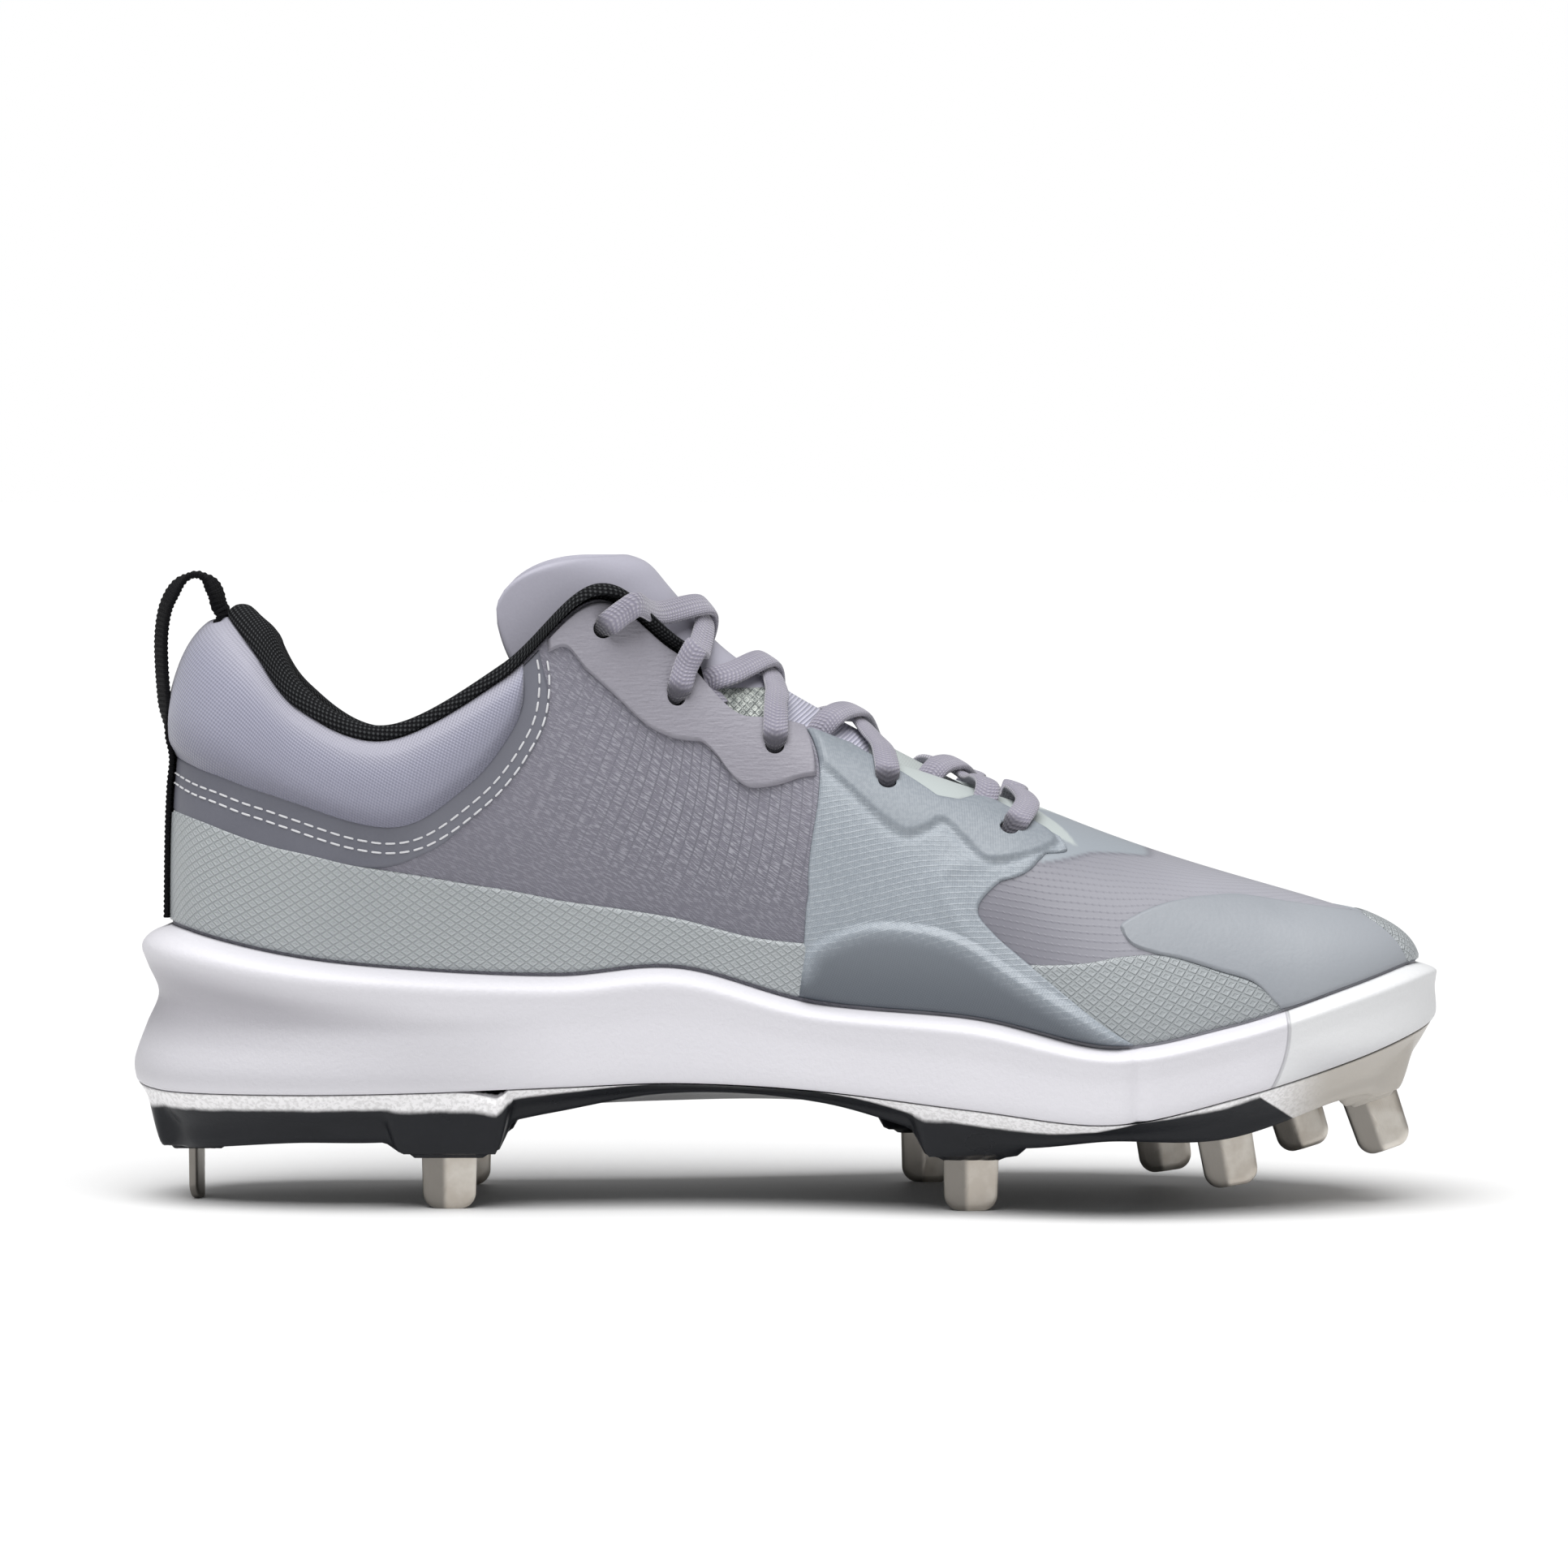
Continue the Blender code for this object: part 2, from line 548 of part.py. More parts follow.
def rib_rows():
    """The upper's rows of points up its ribs."""
    return np.linspace(0, 1, RIB_ROWS)


def stations_around():
    """Places around the shoe where every surface is cut: finer at heel and toe, mirrored on the two sides."""
    medial = []
    for station in range(TOE):
        steps = FINE_STEPS if station in FINE_STATIONS else PLAIN_STEPS
        medial += [station + step / steps for step in range(steps)]
    lateral = [STATIONS - place for place in reversed(medial[1:])]
    return np.array(medial + [TOE] + lateral, float)


def foam_rings(around):
    """The midsole's rings: up its side wall, over the rim and down inside to the footbed."""
    weight = heel_share(around)
    bottom = sole("foam", around)
    rise = sole("bite", around) - bottom
    rings = []
    for name, heel, fore, height in FOAM_WALL:
        inset = RIM_INSET * (heel * weight + fore * (1 - weight))
        rings.append(ring(around, inset, sole_height(bottom + rise * height)))
    rings.append(ring(around, rim_inset(around) + FOOT_INSET, sole_height(sole("floor", around))))
    return rings


def make_midsole(group):
    return ring_solid("midsole", foam_rings(stations_around()), "foam", group)


def boss_frame(along, across, tip, yaw, lean):
    """Frame of a stud: its origin at the middle of the tip, +Z up the blade."""
    place = Vector(((along - 0.5) * LENGTH, across * HALF_BALL, tip * STUD_DROP))
    turn = Matrix.Rotation(math.radians(yaw), 4, "Z") @ Matrix.Rotation(math.radians(-lean), 4, "Y")
    return Matrix.Translation(place) @ turn


def make_boss_blocks(group):
    """The raised seats of all studs, as one helper mesh of separate tapered blocks."""
    shape = bmesh.new()
    for along, across, tip, yaw, lean, boss_length, boss_width in STUDS.values():
        block = bmesh.new()
        bmesh.ops.create_cube(block, size=1.0)
        for vertex in block.verts:
            share = BOSS_TAPER if vertex.co.z < 0 else 1.0
            vertex.co.x *= boss_length * BLADE_WIDTH * share
            vertex.co.y *= boss_width * BLADE_WIDTH * share
            vertex.co.z = (vertex.co.z + 0.5) * BOSS_HEIGHT + BLADE_LENGTH + CLEARANCE
        bmesh.ops.bevel(block, geom=block.edges[:], offset=BOSS_ROUND, segments=1, affect="EDGES")
        bmesh.ops.transform(block, matrix=boss_frame(along, across, tip, yaw, lean), verts=block.verts)
        mesh = bpy.data.meshes.new("block")
        block.to_mesh(mesh)
        block.free()
        shape.from_mesh(mesh)
        bpy.data.meshes.remove(mesh)
    mesh = bpy.data.meshes.new("boss_blocks")
    shape.to_mesh(mesh)
    shape.free()
    item = bpy.data.objects.new("boss_blocks", mesh)
    group.objects.link(item)
    return as_helper(item)


def plate_rings(around):
    """The plate's rings, from its underside up to just below the foam."""
    low = sole("plate", around)
    rise = sole("foam", around) - low
    weight = heel_share(around)
    heel, fore = FOAM_WALL[0][1:3]
    rings = []
    for name, inset, height in reversed(PLATE_WALL):
        rings.append(ring(around, inset * PLATE_INSET, sole_height(low + rise * height)))
    seam = RIM_INSET * (heel * weight + fore * (1 - weight))
    rings.append(ring(around, seam, sole_height(sole("foam", around)) - CLEARANCE))
    return rings


def make_plate(group, helpers):
    plate = ring_solid("outsole_plate", plate_rings(stations_around()), "plate_plastic", group,
                       low_dish=PLATE_DISH, across=3)
    join = plate.modifiers.new("bosses", "BOOLEAN")
    join.operation = "UNION"
    join.solver = "EXACT"
    join.object = make_boss_blocks(helpers)
    return plate


def blade_sections():
    """Upright slices across the blade, with round lower corners and a slight bend at its middle."""
    half = BLADE_WIDTH / 2
    corner = [(-half, BLADE_CORNER), (-half + BLADE_CORNER * 0.3, BLADE_CORNER * 0.3), (-half + BLADE_CORNER, 0.0)]
    profile = corner + [(0.0, 0.0)] + [(-x, z) for x, z in reversed(corner)]
    sections = []
    for x, low in profile:
        bend = BLADE_BEND * abs(x)
        near, far = bend - BLADE_THICKNESS / 2, bend + BLADE_THICKNESS / 2
        sections.append([(x, near, low), (x, far, low), (x, far, BLADE_LENGTH), (x, near, BLADE_LENGTH)])
    return np.array(sections)


def make_blades(group):
    for name, row in STUDS.items():
        blade = tube_solid("blade_" + name, blade_sections(), "blade_metal", group)
        blade.matrix_world = boss_frame(*row[:5])
        facing_out(blade)


def inner_foot_inset(around):
    """Inset of the upper's inner face at the footbed."""
    return rim_inset(around) + FOOT_INSET + CLEARANCE + WALL


def make_insole(group):
    around = stations_around()
    inset = inner_foot_inset(around) + CLEARANCE
    low = sole_height(sole("floor", around)) + CLEARANCE
    edge_round = INSOLE_THICKNESS / 3
    rings = [ring(around, inset, low), ring(around, inset, low + INSOLE_THICKNESS - edge_round),
             ring(around, inset + edge_round, low + INSOLE_THICKNESS)]
    return ring_solid("insole", rings, "insole_fabric", group)


def make_eyelet_cutters(group):
    """Round cutters through the upper and its overlays at every eyelet."""
    shape = bmesh.new()
    mirrored = [(STATIONS - around, up) for around, up in EYELETS]
    for around, up in list(EYELETS) + mirrored:
        point, normal, rising = upper_frame(around, up)
        turn = Vector(normal[0]).to_track_quat("Z", "Y").to_matrix().to_4x4()
        bmesh.ops.create_cone(shape, cap_ends=True, segments=6, radius1=EYELET_DIAMETER / 2,
                              radius2=EYELET_DIAMETER / 2, depth=EYELET_DEPTH,
                              matrix=Matrix.Translation(Vector(point[0])) @ turn)
    mesh = bpy.data.meshes.new("eyelet_cutters")
    shape.to_mesh(mesh)
    shape.free()
    item = bpy.data.objects.new("eyelet_cutters", mesh)
    group.objects.link(item)
    return as_helper(item)


def cut_eyelets(item, cutters):
    cut = item.modifiers.new("eyelets", "BOOLEAN")
    cut.operation = "DIFFERENCE"
    cut.solver = "EXACT"
    cut.object = cutters


def thicken(item, thickness, outwards):
    wall = item.modifiers.new("wall", "SOLIDIFY")
    wall.thickness = thickness
    wall.offset = 1.0 if outwards else -1.0
    wall.use_even_offset = False


def make_upper(group, cutters):
    """The lasted shell: an open surface from the footbed over the bite line to the opening, made a wall thick."""
    around = stations_around()
    foot = ring(around, rim_inset(around) + FOOT_INSET + CLEARANCE,
                sole_height(sole("floor", around)) + CLEARANCE)
    rings = [foot] + [upper_point(around, up) for up in rib_rows()]
    points = [point for one in rings for point in one]
    upper = add_mesh("upper", points, band_faces(len(rings), len(around)), "upper_mesh", group)
    thicken(upper, WALL, False)
    cut_eyelets(upper, cutters)
    return upper


def levels_between(low, high):
    """The upper's own rows between two heights on its ribs, with both heights, so that facets lie parallel."""
    inside = [row for row in rib_rows() if low + CLOSEST_ROWS < row < high - CLOSEST_ROWS]
    return np.array([low, *inside, high])


def patch_along(rows):
    """Places of an overlay whose rows give around, lower and upper edge, cut also at the upper's own ribs."""
    table = np.array(rows)
    ribs = stations_around()
    ribs = ribs[(ribs > table[0, 0]) & (ribs < table[-1, 0])]
    around = np.unique(np.concatenate([table[:, 0], ribs]))
    keep = np.concatenate([[True], np.diff(around) > CLOSEST_STATIONS])
    keep[-1] = True
    around = around[keep]
    low = np.interp(around, table[:, 0], table[:, 1])
    high = np.interp(around, table[:, 0], table[:, 2])
    widest = np.argmax(high - low)
    levels = levels_between(low[widest], high[widest])
    share = ((levels - levels[0]) / (levels[-1] - levels[0]))[:, None]
    return np.broadcast_to(around, (len(share), len(around))), low + (high - low) * share


def patch_upwards(rows):
    """Places of an overlay whose rows give up, rear and front edge."""
    table = np.array(rows)
    up = levels_between(table[0, 0], table[-1, 0])[:, None]
    rear = np.interp(up, table[:, 0], table[:, 1])
    front = np.interp(up, table[:, 0], table[:, 2])
    around = rear + (front - rear) * np.linspace(0, 1, PATCH_COLUMNS)
    return around, np.broadcast_to(up, around.shape)


def make_overlay(name, places, finish, group, mirrored=False):
    """A thin film over the upper, lifted off it by the clearance."""
    around, up = places
    if mirrored:
        around, up = STATIONS - around[:, ::-1], up[:, ::-1]
    rows, columns = around.shape
    points = upper_offset(around.ravel(), up.ravel(), np.full(around.size, FILM_LIFT))
    item = add_mesh(name, points, band_faces(rows, columns, closed=False), finish, group)
    thicken(item, FILM, True)
    return item


def make_overlays(group, cutters):
    make_overlay("toe_cap", patch_along(TOE_CAP), "grey_film", group)
    for side, mirrored in (("medial", False), ("lateral", True)):
        make_overlay("heel_foxing_" + side, patch_along(FOXING), "grey_film", group, mirrored)
        eyestay = make_overlay("eyestay_" + side, patch_along(EYESTAY), "lilac_film", group, mirrored)
        saddle = make_overlay("saddle_" + side, patch_upwards(SADDLE), "grey_film", group, mirrored)
        cut_eyelets(eyestay, cutters)
        cut_eyelets(saddle, cutters)


def make_lining(group):
    """Padded collar lining with a rolled edge that stands on the upper's edge."""
    table = np.array(LINING)
    reach = table[-1, 0]
    ribs = stations_around()
    medial = ribs[ribs <= reach]
    around = np.concatenate([-medial[:0:-1], medial])
    distance = np.abs(around)
    low, pad, roll = (np.interp(distance, table[:, 0], table[:, place]) for place in (1, 2, 3))
    pad = pad * LINING_PAD
    roll = roll * COLLAR_ROLL
    middle = (low + 1) / 2
    back, seat = np.full(len(around), LINING_BACK), np.full(len(around), LINING_SEAT)
    edge, normal, rising = upper_frame(around, 1.0)

    def at_edge(up, out):
        return edge + rising * up[:, None] + normal * out[:, None]

    rolled = [at_edge(seat + roll * up, roll * out + pad * padded) for up, out, padded in ROLL_SECTION]
    sections = np.stack([
        upper_offset(around, low, -back),
        upper_offset(around, middle, -back),
        at_edge(seat, -back),
        at_edge(seat, 0 * back),
        *rolled,
        at_edge(seat, -back - pad * LINING_TOP_PAD),
        upper_offset(around, middle, -back - pad),
        upper_offset(around, low, -back - pad * LINING_FOOT_PAD),
    ], axis=1)
    return facing_out(tube_solid("collar_lining", sections, "black_knit", group))


def tongue_point(along_row, across):
    """The tongue's outer surface: row number along it, and across from -1, medial, to 1."""
    rows = open_spline(TONGUE_ROWS, np.atleast_1d(np.asarray(along_row, float)))
    along, rise, swing, half, drop, pad, span = rows.T
    angle = np.asarray(across) * span * math.pi / 2
    swing = np.radians(swing)
    fall = drop * HALF_BALL * (1 - np.cos(angle))
    x = (along - 0.5) * LENGTH - fall * np.sin(swing)
    y = half * HALF_BALL * np.sin(angle)
    z = SOLE_TOP + rise * INSTEP_RISE - fall * np.cos(swing)
    return np.column_stack([x, y, z])


def tongue_frame(along_row, across):
    """Point and outward normal of the tongue."""
    step = 0.03
    rise = tongue_point(along_row + step, across) - tongue_point(along_row - step, across)
    over = tongue_point(along_row, across + step) - tongue_point(along_row, across - step)
    normal = np.cross(over, rise)
    normal *= np.where(normal[:, :1] < 0, -1.0, 1.0)
    normal /= np.linalg.norm(normal, axis=1, keepdims=True)
    return tongue_point(along_row, across), normal


def make_tongue(group):
    rows, across = np.meshgrid(np.linspace(0, len(TONGUE_ROWS) - 1, TONGUE_STEPS),
                               np.linspace(-1, 1, TONGUE_ACROSS + 1), indexing="ij")
    point, normal = tongue_frame(rows.ravel(), across.ravel())
    pad = open_spline(TONGUE_ROWS, rows.ravel())[:, TONGUE_COLUMNS.index("pad")] * TONGUE_PAD
    from_top = np.clip((rows.ravel()[-1] - rows.ravel()) / 0.8, 0, 1)
    thickness = pad * blend(TONGUE_EDGE, 1.0, (1 - np.abs(across.ravel())) / 0.3) * blend(TONGUE_TOP_EDGE, 1.0, from_top)
    inner = point - normal * thickness[:, None]
    shape = (*rows.shape, 3)
    return facing_out(slab_solid("tongue", point.reshape(shape), inner.reshape(shape), "tongue_fabric", group))


def make_pull_loop(group):
    """Webbing that climbs the heel, loops back and returns down the heel's top."""
    half = STRAP_THICKNESS / 2

    def on_heel(ups):
        return upper_offset(np.zeros(len(ups)), np.array(ups), np.full(len(ups), STRAP_LIFT))

    free = [((along - 0.5) * LENGTH, 0.0, SOLE_TOP + rise * HEEL_RISE) for along, rise in LOOP_POINTS]
    route = np.vstack([on_heel(STRAP_FOOT), free, on_heel(STRAP_RETURN)])
    route[:, 1] = 0.0
    path = open_spline(route, np.linspace(0, len(route) - 1, STRAP_STEPS))
    tangent = np.gradient(path, axis=0)
    tangent /= np.linalg.norm(tangent, axis=1, keepdims=True)
    side = np.array([0.0, 1.0, 0.0])
    outward = np.cross(tangent, side)
    edges = [side * y * STRAP_WIDTH / 2 for y in (-1, 1)]
    sections = np.stack([path + outward * half + edges[0], path + outward * half + edges[1],
                         path - outward * half + edges[1], path - outward * half + edges[0]], axis=1)
    return facing_out(tube_solid("pull_loop", sections, "black_knit", group))


def nearest_on_tongue(point):
    """Row and place across of the tongue that lie nearest to a point beside it."""
    half = TONGUE_ROWS[3][TONGUE_COLUMNS.index("half")] * HALF_BALL
    across = math.asin(max(-0.95, min(0.95, point[1] / half))) / (math.pi / 2)
    rows = np.linspace(0, len(TONGUE_ROWS) - 1, 200)
    gaps = np.linalg.norm(tongue_point(rows, across) - point, axis=1)
    return rows[np.argmin(gaps)], across


def lifted_place(around, up):
    """Point at a lace's middle over a place on the upper, with the normal there."""
    point, normal, rising = upper_frame(around, up)
    return point[0] + normal[0] * LACE_OVER_UPPER, normal[0]


def halfway(place, edge):
    """Place between an eyelet and the throat's edge."""
    return (place[0] + edge) / 2, (place[1] + 1.0) / 2


def lace_route(start, start_edge, end_edge, end, crest_lift):
    """Points and surface normals along one strand from one side, over the throat's edges, to the other."""
    edges = [lifted_place(start_edge, 1.0), lifted_place(end_edge, 1.0)]
    rows, across = np.transpose([nearest_on_tongue(edge[0]) for edge in edges])
    stops = [lifted_place(*start), lifted_place(*halfway(start, start_edge))] if start else []
    stops.append(edges[0])
    for share in LACE_ON_TONGUE:
        point, normal = tongue_frame(np.array([rows[0] + (rows[1] - rows[0]) * share]),
                                     np.array([across[0] + (across[1] - across[0]) * share]))
        lift = LACE_OVER_TONGUE + (crest_lift if share == LACE_CREST else 0.0)
        stops.append((point[0] + normal[0] * lift, normal[0]))
    stops.append(edges[1])
    if end:
        stops += [lifted_place(*halfway(end, end_edge)), lifted_place(*end)]
    places, normals = zip(*stops)
    return np.array(places), np.array(normals)


def make_strand(name, strand, group, crest_lift=0.0):
    """One flat-oval lace, swept along its route with its flat side on what it crosses."""
    places, normals = lace_route(*strand, crest_lift)
    steps = np.linspace(0, len(places) - 1, LACE_STEPS)
    path = open_spline(places, steps)
    up = open_spline(normals, steps)
    tangent = np.gradient(path, axis=0)
    tangent /= np.linalg.norm(tangent, axis=1, keepdims=True)
    up -= tangent * np.sum(up * tangent, axis=1, keepdims=True)
    up /= np.linalg.norm(up, axis=1, keepdims=True)
    side = np.cross(tangent, up)
    turn = np.linspace(0, 2 * math.pi, LACE_SIDES, endpoint=False)
    sections = (path[:, None, :] + side[:, None, :] * (np.cos(turn) * LACE_WIDTH / 2)[None, :, None]
                + up[:, None, :] * (np.sin(turn) * LACE_THICKNESS / 2)[None, :, None])
    return facing_out(tube_solid(name, sections, "lace_weave", group))


def mirrored_strand(strand):
    """The same strand run from the other side of the shoe."""
    start, start_edge, end_edge, end = strand
    ends = [(STATIONS - place[0], place[1]) if place else None for place in (start, end)]
    return ends[0], STATIONS - start_edge, STATIONS - end_edge, ends[1]


def make_laces(group, helpers):
    make_strand("lace_bar", LACE_BAR, group)
    for name, route in LACE_CROSSINGS.items():
        strand = make_strand(name, route, group)
        partner = as_helper(make_strand(name + "_partner", mirrored_strand(route), helpers, LACE_HUMP))
        join = strand.modifiers.new("crossing", "BOOLEAN")
        join.operation = "UNION"
        join.solver = "EXACT"
        join.object = partner


def main():
    clear_scene()
    shoe = new_collection("baseball_cleat")
    helpers = new_collection("helpers")
    cutters = make_eyelet_cutters(helpers)
    make_upper(shoe, cutters)
    make_midsole(shoe)
    make_plate(shoe, helpers)
    make_blades(shoe)
    make_insole(shoe)
    make_tongue(shoe)
    make_lining(shoe)
    make_overlays(shoe, cutters)
    make_pull_loop(shoe)
    make_laces(shoe, helpers)


main()
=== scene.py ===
# %% [markdown]
# # A baseball cleat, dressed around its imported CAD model
#
# The CAD model fixes every size and place. This script builds what the eye sees around it: the lasted upper and
# its films, the padded collar, the tongue, the laces, the foam, the moulded plate and the metal blades. Almost
# every surface is one numpy function of two numbers, "around" the shoe and "up" its side, so that pieces which
# lie on each other share the same shape.

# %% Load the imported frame
import math

import bmesh
import bpy
import numpy as np
from mathutils import Matrix, Vector


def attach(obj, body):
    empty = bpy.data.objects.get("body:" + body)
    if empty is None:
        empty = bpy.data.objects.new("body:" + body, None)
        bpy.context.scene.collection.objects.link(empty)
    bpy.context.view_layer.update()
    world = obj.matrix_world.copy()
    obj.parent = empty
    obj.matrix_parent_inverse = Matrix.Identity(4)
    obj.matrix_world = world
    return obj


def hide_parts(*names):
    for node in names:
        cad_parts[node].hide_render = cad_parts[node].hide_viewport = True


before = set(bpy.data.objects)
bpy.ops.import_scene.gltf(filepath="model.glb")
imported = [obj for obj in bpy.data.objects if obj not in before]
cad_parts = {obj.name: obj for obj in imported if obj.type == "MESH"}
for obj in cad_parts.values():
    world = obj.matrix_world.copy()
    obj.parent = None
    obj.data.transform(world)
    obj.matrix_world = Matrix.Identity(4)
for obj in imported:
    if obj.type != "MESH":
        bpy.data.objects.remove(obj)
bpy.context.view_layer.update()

# %% [markdown]
# ## Camera
#
# The photograph is a product shot taken from far off with a long lens, a few degrees above the floor, square to
# the shoe's medial side. A long lens keeps the perspective weak, as it is there.

# %% Camera at the photograph's angle
CAMERA_DISTANCE, CAMERA_LENS, CAMERA_SENSOR = 1.8, 179.0, 36.0  # metres, then millimetres
CAMERA_ELEVATION = math.radians(3.6)
CAMERA_TARGET = Vector((0.0, 0.0, 0.09575))


def add_object(name, data):
    """A new object at the origin, in the scene's own collection."""
    made = bpy.data.objects.new(name, data)
    bpy.context.scene.collection.objects.link(made)
    return made


def place_camera():
    """The camera stands back from its target along the line of sight and looks at it."""
    back = Vector((0.0, -math.cos(CAMERA_ELEVATION), math.sin(CAMERA_ELEVATION)))
    data = bpy.data.cameras.new("camera")
    data.lens, data.sensor_width = CAMERA_LENS, CAMERA_SENSOR
    data.clip_end = 60.0
    camera = add_object("camera", data)
    camera.location = CAMERA_TARGET + back * CAMERA_DISTANCE
    camera.rotation_euler = (CAMERA_TARGET - camera.location).to_track_quat("-Z", "Y").to_euler()
    bpy.context.scene.camera = camera


place_camera()
print("camera at", [round(v, 3) for v in bpy.context.scene.camera.location])

# %% [markdown]
# ## The last
#
# A shoe is made round a last, a solid foot form. Here the last is two tables of 24 stations around the shoe,
# from the heel along the medial side to the toe and back along the lateral side. Any "around" between two
# stations is filled in by a smooth cubic, so a table that a maker can read by eye gives a surface with no steps.

# %% Driving sizes and the station tables
LENGTH, HALF_BALL = 0.300, 0.052
STUD_DROP, SOLE_THICKNESS = 0.012, 0.0517
HEEL_RISE, INSTEP_RISE = 0.0708, 0.0758
WALL, CLEARANCE = 0.002, 0.0003
RIM_INSET, PLATE_INSET = 0.0085, 0.009
SOLE_TOP = STUD_DROP + SOLE_THICKNESS
MM = 0.001

# along, across, bite line, foam's underside, plate's underside, footbed
SOLE = np.array([
    (0.000, 0.000, 1.000, 0.300, 0.020, 0.690), (0.030, -0.420, 0.980, 0.285, 0.020, 0.690),
    (0.120, -0.645, 0.890, 0.290, 0.060, 0.680), (0.220, -0.670, 0.835, 0.300, 0.075, 0.665),
    (0.330, -0.610, 0.805, 0.320, 0.195, 0.650), (0.420, -0.570, 0.835, 0.335, 0.275, 0.600),
    (0.520, -0.640, 0.685, 0.310, 0.240, 0.500), (0.640, -0.860, 0.635, 0.245, 0.070, 0.415),
    (0.745, -1.000, 0.520, 0.195, 0.105, 0.385), (0.840, -0.905, 0.605, 0.300, 0.105, 0.445),
    (0.930, -0.730, 0.755, 0.450, 0.250, 0.570), (0.984, -0.470, 0.840, 0.560, 0.290, 0.665),
    (1.000, -0.130, 0.835, 0.605, 0.280, 0.675), (0.978, 0.240, 0.820, 0.560, 0.290, 0.665),
    (0.910, 0.570, 0.735, 0.425, 0.220, 0.550), (0.820, 0.830, 0.650, 0.300, 0.105, 0.435),
    (0.710, 0.970, 0.600, 0.225, 0.070, 0.405), (0.600, 0.970, 0.610, 0.240, 0.070, 0.425),
    (0.500, 0.850, 0.680, 0.290, 0.135, 0.500), (0.400, 0.750, 0.765, 0.320, 0.140, 0.600),
    (0.300, 0.710, 0.790, 0.305, 0.115, 0.655), (0.200, 0.690, 0.830, 0.295, 0.075, 0.670),
    (0.110, 0.635, 0.900, 0.290, 0.060, 0.680), (0.030, 0.420, 0.975, 0.285, 0.020, 0.690)])

# the opening's along, across, height over the sole as shares of the heel's and the instep's rise; then the two
# Bezier handles: lean, rise, pull, bulge, drop
RIBS = np.array([
    (0.075, 0.000, 1.000, 0.000, -0.01, 0.34, 0.00, 0.28, 0.17),
    (0.097, -0.290, 0.900, 0.000, 0.03, 0.34, 0.00, 0.20, 0.22),
    (0.133, -0.500, 0.720, 0.000, 0.04, 0.35, 0.00, 0.09, 0.30),
    (0.200, -0.605, 0.625, 0.000, 0.02, 0.35, 0.00, 0.06, 0.35),
    (0.287, -0.585, 0.000, 0.765, 0.02, 0.35, 0.00, 0.06, 0.35),
    (0.357, -0.480, 0.000, 1.000, 0.04, 0.30, 0.05, 0.10, 0.30),
    (0.417, -0.345, 0.000, 0.835, 0.03, 0.33, 0.30, 0.10, 0.25),
    (0.517, -0.300, 0.000, 0.605, 0.02, 0.33, 0.45, 0.08, 0.17),
    (0.617, -0.270, 0.000, 0.460, 0.02, 0.35, 0.50, 0.05, 0.15),
    (0.670, -0.210, 0.000, 0.390, 0.01, 0.36, 0.50, 0.03, 0.20),
    (0.695, -0.135, 0.000, 0.360, 0.00, 0.38, 0.55, 0.00, 0.40),
    (0.703, -0.067, 0.000, 0.344, -0.02, 0.42, 0.59, 0.00, 0.56),
    (0.706, -0.020, 0.000, 0.340, -0.03, 0.42, 0.60, 0.00, 0.61),
    (0.703, 0.030, 0.000, 0.343, -0.02, 0.42, 0.59, 0.00, 0.56),
    (0.695, 0.115, 0.000, 0.353, 0.00, 0.38, 0.55, 0.00, 0.40),
    (0.670, 0.210, 0.000, 0.387, 0.01, 0.36, 0.50, 0.03, 0.20),
    (0.610, 0.290, 0.000, 0.453, 0.02, 0.35, 0.50, 0.05, 0.15),
    (0.510, 0.325, 0.000, 0.590, 0.02, 0.33, 0.48, 0.06, 0.17),
    (0.413, 0.365, 0.000, 0.810, 0.03, 0.33, 0.35, 0.08, 0.25),
    (0.350, 0.500, 0.000, 0.935, 0.04, 0.30, 0.10, 0.08, 0.30),
    (0.280, 0.595, 0.000, 0.710, 0.02, 0.35, 0.00, 0.05, 0.35),
    (0.193, 0.605, 0.575, 0.000, 0.02, 0.35, 0.00, 0.06, 0.35),
    (0.130, 0.480, 0.690, 0.000, 0.04, 0.35, 0.00, 0.09, 0.30),
    (0.097, 0.290, 0.873, 0.000, 0.03, 0.34, 0.00, 0.20, 0.22)])
STATIONS = len(SOLE)
TOE = STATIONS // 2
print(STATIONS, "stations; toe at", TOE)


# %% [markdown]
# ## Reading the tables
#
# A cubic spline through equally spaced rows needs only four neighbours for each value, so it reads a table at any
# place without solving anything, and whole arrays of places at once. The upper's surface is then a Bezier curve on
# every rib: its foot and edge come from the table, and two handles give the curve its belly.

# %% Splines through the stations
def cubic(before, here, after, beyond, t):
    """Curve from here to after whose slopes are half the step between their neighbours."""
    slope_here, slope_after = (after - before) / 2, (beyond - here) / 2
    return (here * (2 * t**3 - 3 * t**2 + 1) + slope_here * (t**3 - 2 * t**2 + t)
            + after * (3 * t**2 - 2 * t**3) + slope_after * (t**3 - t**2))


def closed_spline(values, around):
    """The cubic through a closed row of values, read at any place around it."""
    values, around = np.asarray(values, float), np.asarray(around, float)
    base = np.floor(around).astype(int)
    t = (around - base).reshape(around.shape + (1,) * (values.ndim - 1))
    return cubic(*(values[(base + shift) % len(values)] for shift in (-1, 0, 1, 2)), t)


def open_spline(values, places):
    """The same cubic through an open row of values, straight past its ends."""
    values, places = np.asarray(values, float), np.asarray(places, float)
    padded = np.concatenate([[2 * values[0] - values[1]], values, [2 * values[-1] - values[-2]]])
    base = np.clip(np.floor(places).astype(int), 0, len(values) - 2)
    t = (places - base).reshape(places.shape + (1,) * (values.ndim - 1))
    return cubic(*(padded[base + shift] for shift in (0, 1, 2, 3)), t)


